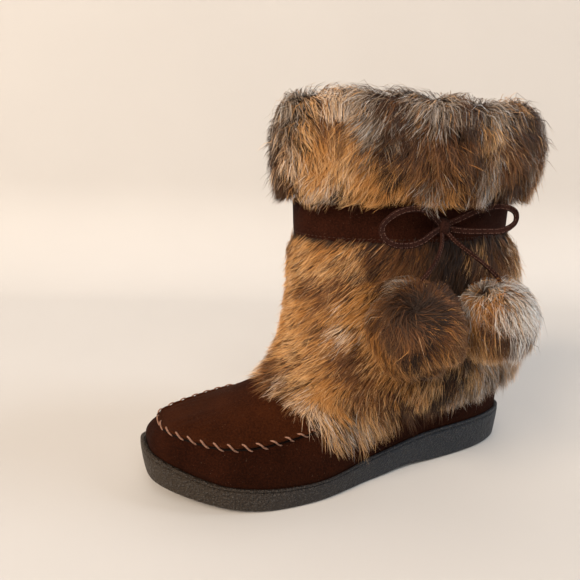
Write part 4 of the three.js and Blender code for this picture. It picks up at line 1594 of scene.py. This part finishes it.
class ShaftSkin(FurSkin):
    """The shaft's backing: rows are the upper's section numbers. Sizes in millimetres."""

    rows = (0.0, 1.0)
    top = 13.1
    hang = 8.5
    front_hang = 3.5
    front_from = (0.48, 0.62)
    toe_pile = 9
    heel_pile = 19
    heel_power = 1.3
    edge_at = (0, 0.06, 0.2, 0.5, 0.8, 0.94, 1)
    edge_pile = (0.3, 0.55, 0.85, 1, 1, 0.8, 0.35)
    inner_gap = 0.7
    backing_gap = 0.9
    backing_share = 0.3
    hair_share = 0.72
    sweep_y = (-75, 10)
    sweep_z = (30, 85)
    sweep_lean = 0.95
    swirl = 0.25
    swirl_size = 34

    def start(self, row: Array, angle: Array) -> Array:
        """Shares of the fur's height as section numbers."""
        edge = FORM.fur_edge(FORM.along(angle))
        spacing = np.linalg.norm(FORM.face(edge + 1, angle) - FORM.face(edge, angle), axis=-1)
        hang = lerp(self.hang, self.front_hang, smooth(FORM.along(angle), *self.front_from))
        return lerp(edge + hang / spacing, self.top, row)

    def stretch(self, angle: Array) -> Array:
        """The fur's height in sections."""
        return self.top - FORM.fur_edge(FORM.along(angle))

    def fit(self, row: Array) -> Array:
        """Leaves the rows as they are: the pile's depth ends by itself."""
        return row

    def pile(self, row: Array, angle: Array) -> Array:
        """The whole pile's depth over the upper, less at its two edges."""
        deep = lerp(self.toe_pile, self.heel_pile, (1 - FORM.along(angle)) ** self.heel_power)
        edge = FORM.fur_edge(FORM.along(angle))
        share = np.clip((row - edge) / (self.top - edge), 0, 1)
        return deep * np.interp(share, self.edge_at, self.edge_pile)

    def backing(self, row: Array, angle: Array) -> Array:
        """Points on the backing, a third of the pile above the upper."""
        return FORM.point(row, angle, self.backing_gap + self.backing_share * self.pile(row, angle))

    def inner(self, row: Array, angle: Array) -> Array:
        """Points just off the upper."""
        return FORM.point(row, angle, self.inner_gap)

    def depth(self, row: Array, angle: Array) -> Array:
        """The rest of the pile."""
        return self.hair_share * self.pile(row, angle)

    def down(self, row: Array, angle: Array) -> Array:
        """Plumb, along the backing."""
        normal = self.ways(row, angle)[2]
        fall = np.array((0, 0, -1.0)) + normal * normal[..., 2:]
        return unit(fall)

    def lean(self, places: Array) -> Array:
        """Down to the left as seen from the outer side, straight at its lower rear."""
        strong = smooth(-places[..., 1], *self.sweep_y) * smooth(places[..., 2], *self.sweep_z)
        return self.sweep_lean * strong + self.swirl * soft_noise(places, self.swirl_size, 51)


class CuffSkin(FurSkin):
    """The cuff's backing: rows run, in millimetres, from its lower edge over the top and inside."""

    rows = (9.0, 84.0)
    row_step = 1.0
    places = (-26, 0, 6, 20, 40, 48, 54, 58, 62, 68, 80, 96)
    section = Track(places, (12.95, 14.06, 14.3, 14.9, 15.7, 15.98, 16, 16, 16, 15.85, 15.4, 14.8))
    out = Track(places, (6, 2.5, 4, 6, 6.5, 5.6, 2.6, -1.2, -4.2, -5.2, -4.4, -3.4))
    lift = Track(places, (0, 0, 0, 0, 0, 1, 5.5, 6.6, 4.4, 0, 0, 0))
    top = 57.0
    heel_grow = 1.1
    toe_grow = 0.95
    front_rise = 4.0
    rise_along = (0.35, 0.95)
    rise_rows = (25, 50)
    fall_rows = (64, 82)
    inner_gaps = (0.5, -2.9)
    inner_rows = (46, 52, 62, 68)
    inner_lift = (0, 0.6, 0.6, 0)
    pile = 12.8
    heel_pile = 1.08
    pile_rows = (0, 5, 14, 40, 50, top, 64, 84)
    pile_share = (0.5, 0.8, 1, 1, 0.8, 0.5, 0.45, 0.35)
    parting = 7
    front_y = (16, 34)
    side_y = (-40, 0)
    side_lean = 0.8
    front_lean = 0.45
    swirl = 0.6
    swirl_size = 19

    def backing(self, row: Array, angle: Array) -> Array:
        """Points on the backing."""
        grow = lerp(self.heel_grow, self.toe_grow, FORM.along(angle))
        out = self.out(row)
        points = FORM.point(self.section(row), angle, np.where(out > 0, out * grow, out))
        rise = smooth(FORM.along(angle), *self.rise_along) * smooth(row, *self.rise_rows)
        rise = rise * (1 - smooth(row, *self.fall_rows))
        points[..., 2] += self.lift(row) + self.front_rise * rise
        return points

    def inner(self, row: Array, angle: Array) -> Array:
        """Points just off the upper, outside it and then inside it."""
        points = FORM.point(self.section(row), angle, np.where(row < self.top, *self.inner_gaps))
        points[..., 2] += np.interp(row, self.inner_rows, self.inner_lift)
        return points

    def depth(self, row: Array, angle: Array) -> Array:
        """Deepest on the outside, less over the top and inside."""
        full = self.pile * lerp(self.heel_pile, 1, FORM.along(angle))
        return full * np.interp(row, self.pile_rows, self.pile_share)

    def down(self, row: Array, angle: Array) -> Array:
        """Down on the outside, down on the inside, and parted at the top."""
        up = unit(self.ways(row, angle)[0])
        return up * np.tanh((row - self.top) / self.parting)[..., None]

    def lean(self, places: Array) -> Array:
        """To the right in front, to the left on the outer side, with soft swirls."""
        front = smooth(-places[..., 1], *self.front_y)
        side = smooth(-places[..., 1], *self.side_y) * (1 - front)
        swirl = self.swirl * soft_noise(places, self.swirl_size, 52)
        return self.side_lean * side - self.front_lean * front + swirl


@dataclass
class BallSkin(FurSkin):
    """A pompom's core. Rows are angles from the swirl that its hairs run away from."""

    centre: Array
    swirl: Array
    core: float = 16.5
    hair: float = 10.5
    twist: float = 0.5
    twist_change: float = 0.3
    twist_size: float = 18
    lumps: float = 0.2
    lump_size: float = 15
    rows: tuple[float, float] = (0.1, 3.04)
    row_step: float = 0.03
    closed: bool = True

    def backing(self, row: Array, angle: Array) -> Array:
        """Points on the core."""
        pole = unit(self.swirl)
        one = unit(np.cross(pole, (0, 0, 1.0)))
        other = np.cross(pole, one)
        flat = np.cos(angle)[..., None] * one + np.sin(angle)[..., None] * other
        return self.centre + self.core * (np.cos(row)[..., None] * pole + np.sin(row)[..., None] * flat)

    def depth(self, row: Array, angle: Array) -> Array:
        """The hairs' height over the core, a little lumpy."""
        return self.hair * (1 + self.lumps * soft_noise(self.backing(row, angle), self.lump_size, 54))

    def down(self, row: Array, angle: Array) -> Array:
        """Away from the swirl."""
        return unit(self.ways(row, angle)[0])

    def lean(self, places: Array) -> Array:
        """Round the swirl."""
        return self.twist + self.twist_change * soft_noise(places, self.twist_size, 53)


@dataclass(frozen=True)
class HairShape:
    """How hairs rise, curl and differ. Pairs are the least and the most of what is usual."""

    stations: tuple[float, ...] = (0.0, 0.5, 1.0)
    clump_height: tuple[float, float] = (0.6, 1.15)
    clump_reach: tuple[float, float] = (0.75, 1.25)
    hair_height: tuple[float, float] = (0.85, 1.1)
    hair_reach: tuple[float, float] = (0.8, 1.12)
    hair_lean: float = 0.16
    stray_lean: float = 0.5
    stray_height: float = 0.3
    stray_out: float = 2.2
    rise_from: float = 0.06
    rise_rate: float = 1.05
    gather_power: float = 1.2
    wave: float = 0.35
    wave_turn: float = 5
    widths: tuple[float, float] = (0.65, 1.25)
    fan: float = 0.25
    rounding: float = 0.75


@dataclass(frozen=True)
class ToneMix:
    """How tones spread from patches to clumps and hairs. Sizes in millimetres."""

    apart: float = 9.0
    near: float = 30
    near_share: float = 0.6
    flat: tuple[float, float, float] = (1, 1, 0.75)
    jumble: float = 0.9
    shades: int = 4
    blur: float = 0.035
    light_share: float = 0.06
    light_above: float = 0.3
    light: tuple[float, ...] = (0.5, 0.6, 0.66)
    dark_share: float = 0.07
    dark: float = 0.08
    ends: tuple[float, float] = (0.003, 0.996)


SHAPE = HairShape()
MIX = ToneMix()


@dataclass
class Coat:
    """A fur that grows from a backing in clumps. Sizes in millimetres."""

    name: str
    skin: FurSkin
    patches: Patches
    slot: Slot
    node: str
    seed: int
    parts: int = 2
    hairs: int = 50000
    clumps: int = 2100
    reach: float = 16
    spread: float = 2.05
    gather: float = 0.45
    wide: float = 0.275
    droop: float = 0.0
    strays: float = 0.02
    fillers: int = 500
    blend: float = 5.5
    tousle: float = 0.22
    flecks: float = 0.26
    fill: tuple[Tone, ...] = (T.RUSSET, T.GOLD, T.GOLD, T.GOLD, T.TAN, T.TAN, T.TAN, T.BEIGE)
    under_rows: int = 40
    under_around: int = 120
    under_lumps: float = 0.9
    under_lump_size: float = 6

    def all_patches(self) -> tuple[Array, Array]:
        """Adds seeded patches to the listed ones, where none is near.

        Returns:
            All patches' places and tones.
        """
        dice = np.random.default_rng(self.seed + 500)
        listed = np.array([patch[:3] for patch in self.patches], float)
        places = listed
        tones = [patch[3].value for patch in self.patches]
        row, angle = self.skin.scatter(self.fillers, dice)
        for spot in self.skin.point(row, angle, self.skin.depth(row, angle)):
            if np.linalg.norm(places - spot, axis=1).min() > MIX.apart:
                away = np.linalg.norm(listed - spot, axis=1)
                own = self.fill[dice.integers(len(self.fill))].value
                near = away.min() < MIX.near and dice.random() < MIX.near_share
                places = np.vstack([places, spot])
                tones.append(tones[away.argmin()] if near else own)
        return places, np.array(tones)

    def clump_tones(self, places: Array, dice: np.random.Generator) -> Array:
        """Draws tones for each clump from the patches near it; its hairs take one or another.

        Args:
            places: the clumps' places.
            dice: where the chances come from.

        Returns:
            A few tones for each clump.
        """
        centres, tones = self.all_patches()
        away = np.linalg.norm((places[:, None] - centres) * MIX.flat, axis=-1) / self.blend
        draws = [(away + dice.gumbel(0, MIX.jumble, away.shape)).argmin(1) for _ in range(MIX.shades)]
        drawn = tones[np.stack(draws, 1)]
        fleck = dice.random(self.clumps) < self.flecks
        drawn[fleck, 0] = dice.choice((T.UMBER.value, T.RUSSET.value), self.clumps)[fleck]
        return drawn

    def hair_tones(self, drawn: Array, dice: np.random.Generator) -> Array:
        """Picks the hairs' tones, with a few light and dark ones between.

        Args:
            drawn: the tones of each hair's clump.
            dice: where the chances come from.

        Returns:
            One tone for each hair.
        """
        one = dice.integers(MIX.shades, size=self.hairs)
        other = dice.integers(MIX.shades, size=self.hairs)
        tone = drawn[np.arange(self.hairs), np.minimum(one, other)] + dice.normal(0, MIX.blur, self.hairs)
        odd = dice.random(self.hairs)
        light = (odd < MIX.light_share) & (tone > MIX.light_above)
        tone = np.where(light, dice.choice(MIX.light, self.hairs), tone)
        tone = np.where(odd > 1 - MIX.dark_share, MIX.dark, tone)
        return np.clip(tone, *MIX.ends)

    def strands(self, dice: np.random.Generator) -> tuple[Array, Array, Array]:
        """Works out the hairs.

        Args:
            dice: where the chances come from.

        Returns:
            Each hair's points, the outward way at each point, and its tone.
        """
        skin = self.skin
        row_c, angle_c = skin.scatter(self.clumps, dice)
        drawn = self.clump_tones(skin.point(row_c, angle_c, skin.depth(row_c, angle_c)), dice)
        high_c = dice.uniform(*SHAPE.clump_height, self.clumps)
        reach_c = self.reach * dice.uniform(*SHAPE.clump_reach, self.clumps)
        lean_c = dice.normal(0, self.tousle, self.clumps)
        mine = dice.integers(self.clumps, size=self.hairs)
        stray = dice.random(self.hairs) < self.strays
        blur = dice.normal(0, 1, (self.hairs, 3)) * self.spread
        da, dg = skin.measure(row_c[mine], angle_c[mine], blur)
        row, angle = row_c[mine] + da, angle_c[mine] + dg
        lean = lean_c[mine] + dice.normal(0, SHAPE.hair_lean, self.hairs)
        lean = lean + dice.normal(0, SHAPE.stray_lean, self.hairs) * stray
        reach = reach_c[mine] * dice.uniform(*SHAPE.hair_reach, self.hairs)
        depth = skin.depth(skin.fit(row_c[mine]), angle)
        high = high_c[mine] * dice.uniform(*SHAPE.hair_height, self.hairs)
        high = high + SHAPE.stray_height * stray * dice.random(self.hairs)
        points, outs = [], []
        for last, now in zip((0.0, *SHAPE.stations), SHAPE.stations):
            if now > last:
                _, turn, _ = skin.ways(row, angle)
                places = skin.backing(row, angle)
                way = skin.down(row, angle) + unit(turn) * (skin.lean(places) + lean)[:, None]
                a, g = skin.measure(row, angle, unit(way) * (reach * (now - last))[:, None])
                row, angle = row + a, angle + g
                pull = self.gather * (now**SHAPE.gather_power - last**SHAPE.gather_power) * ~stray
                row, angle = row - da * pull, angle - dg * pull
            rise = min(1.0, SHAPE.rise_from + SHAPE.rise_rate * now)
            out = depth * high * np.sin(0.5 * np.pi * rise) + stray * now**2 * SHAPE.stray_out
            points.append(skin.point(row, angle, out))
            points[-1][:, 2] -= self.droop * now**2
            outs.append(skin.ways(row, angle)[2])
        wave = dice.normal(0, 1, (self.hairs, 3)) * SHAPE.wave
        for k, now in enumerate(SHAPE.stations):
            points[k] = points[k] + wave * math.sin(SHAPE.wave_turn * now) + wave[:, ::-1] * now
        return np.stack(points, 1), np.stack(outs, 1), self.hair_tones(drawn[mine], dice)

    def ribbons(self, part: int, material: bpy.types.Material) -> bpy.types.Object:
        """Makes one share of the hairs as tapered ribbons of three triangles.

        Args:
            part: its number.
            material: the hairs' finish.

        Returns:
            The joined hairs.
        """
        dice = np.random.default_rng(self.seed + part)
        points, outs, tone = self.strands(dice)
        way = unit(np.gradient(points, axis=1))
        flat = unit(np.cross(way, outs))
        side = unit(flat + np.cross(flat, way) * dice.uniform(-1.0, 1.0, (len(points), 1, 1)))
        wide = self.wide * dice.uniform(*SHAPE.widths, len(points))[:, None, None] / 2
        left, right = points - side * wide, points + side * wide
        corners = np.concatenate([right[:, :2], left[:, :2], points[:, 2:]], 1)
        one = np.array([[0, 1, 3, 2], [1, 4, 3, -1]])
        faces = one[None] + 5 * np.arange(len(points))[:, None, None] * (one >= 0)
        thing = raw_mesh(f"{self.name}_{part + 1}", corners.reshape(-1, 3), faces.reshape(-1, 4))
        self.map_tones(thing.data, tone)
        outward = outs + dice.normal(0, SHAPE.fan, (len(points), 1, 3))
        shade = unit(outward - way * (outward * way).sum(-1, keepdims=True) * SHAPE.rounding)
        normals = np.concatenate([shade[:, :2], shade[:, :2], shade[:, 2:]], 1).reshape(-1, 3)
        thing.data.normals_split_custom_set_from_vertices(normals.tolist())
        return dress(thing, material, self.slot, self.node)

    def map_tones(self, mesh: bpy.types.Mesh, tone: Array) -> None:
        """Lays the hairs on their map: the tone across, and root to tip along.

        Args:
            mesh: the joined hairs.
            tone: one tone for each hair.
        """
        across = np.array((-1, -1, 1, 1, 0)) * 0.0009
        along = np.broadcast_to(np.array((0, 0.5, 0, 0.5, 1.0)) * 0.996 + 0.002, (len(tone), 5))
        uv = np.stack([tone[:, None] + across, along], -1)
        corner = np.empty(len(mesh.loops), np.int32)
        mesh.loops.foreach_get("vertex_index", corner)
        layer = mesh.uv_layers.new(name=HAIR_MAP)
        layer.data.foreach_set("uv", uv.reshape(-1, 2)[corner].astype(np.float32).ravel())

    def undercoat(self) -> bpy.types.Object:
        """Makes the dark underfur that the hairs grow from, as one closed skin.

        Returns:
            The underfur.
        """
        rows, around = self.under_rows, self.under_around
        share = np.linspace(0, 1, rows)
        row, turn = np.meshgrid(lerp(*self.skin.rows, share), even_angles(around), indexing="ij")
        row = self.skin.start(row, turn)
        lumps = self.under_lumps * soft_noise(self.skin.backing(row, turn), self.under_lump_size, self.seed)
        points = self.skin.point(row, turn, lumps)
        if self.skin.closed:
            ends = np.array([np.arange(around)[::-1], (rows - 1) * around + np.arange(around)])
            faces = join_faces(ring_faces(rows, around), ends)
        else:
            points = np.concatenate([points, self.skin.inner(row, turn)[::-1]])
            faces = ring_faces(2 * rows, around, loop=True)
        thing = raw_mesh(f"{self.name}_undercoat", points.reshape(-1, 3), faces)
        return dress(thing, Underfur().material(f"{self.name}_undercoat"), self.slot, self.node)

    def build(self) -> list[bpy.types.Object]:
        """Makes the undercoat and the hairs.

        Returns:
            The joined hairs.
        """
        self.undercoat()
        material = Hair().material(f"{self.name}_hair")
        return [self.ribbons(part, material) for part in range(self.parts)]


CUFF_FILL = (T.UMBER, T.RUSSET, T.RUSSET, T.GOLD, T.TAN, T.GREY, T.GREY, T.GREY, T.UMBER)
BROWN_FILL = (T.UMBER, T.RUSSET, T.TAN, T.RUSSET, T.GOLD)
GREY_FILL = (T.PALE, T.BEIGE, T.PALE, T.GREY, T.TAN)
BROWN_SWIRL = np.array((13, -10.5, 17))
GREY_SWIRL = np.array((-2, -10, 17))


def coats() -> list[Coat]:
    """The furs of the shaft, the cuff and the two pompoms."""
    brown = BallSkin(FRONT_POMPOM + (0, 1, 2.5), BROWN_SWIRL, core=17.5, hair=11.5)
    grey = BallSkin(REAR_POMPOM + (0, -2.5, 2), GREY_SWIRL, core=16, twist=-0.15)
    ball = {"parts": 1, "hairs": 32000, "clumps": 420, "spread": 2.2, "gather": 0.6, "wide": 0.24,
            "strays": 0.01}
    return [
        Coat("shaft_fur", ShaftSkin(), SHAFT_PATCHES, Slot.SHAFT, "fur_shaft", 100),
        Coat("cuff_fur", CuffSkin(), CUFF_PATCHES, Slot.CUFF, "fur_cuff", 200, reach=14, tousle=0.4,
             flecks=0.1, fill=CUFF_FILL),
        Coat("brown_pompom", brown, BROWN_PATCHES, Slot.BROWN, "pompom_front", 300, reach=11, droop=2,
             fill=BROWN_FILL, **ball),
        Coat("grey_pompom", grey, GREY_PATCHES, Slot.GREY, "pompom_rear", 400, reach=12, droop=3,
             blend=3.6, flecks=0.3, fill=GREY_FILL, **ball),
    ]


def main() -> None:
    """Builds the boot, piece by piece."""
    logging.basicConfig(level=logging.INFO, format="%(message)s")
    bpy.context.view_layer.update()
    Studio().build()
    knot, runs = Bow().build()
    Sole().build()
    Upper().build()
    Insole().build()
    Apron().build()
    Band().build()
    furs = coats()
    _, _, brown_hairs, grey_hairs = [coat.build() for coat in furs]
    for (run, strip), others in zip(runs, ([knot], [], brown_hairs, grey_hairs)):
        run.declare(strip, others)


if __name__ == "__main__":
    main()
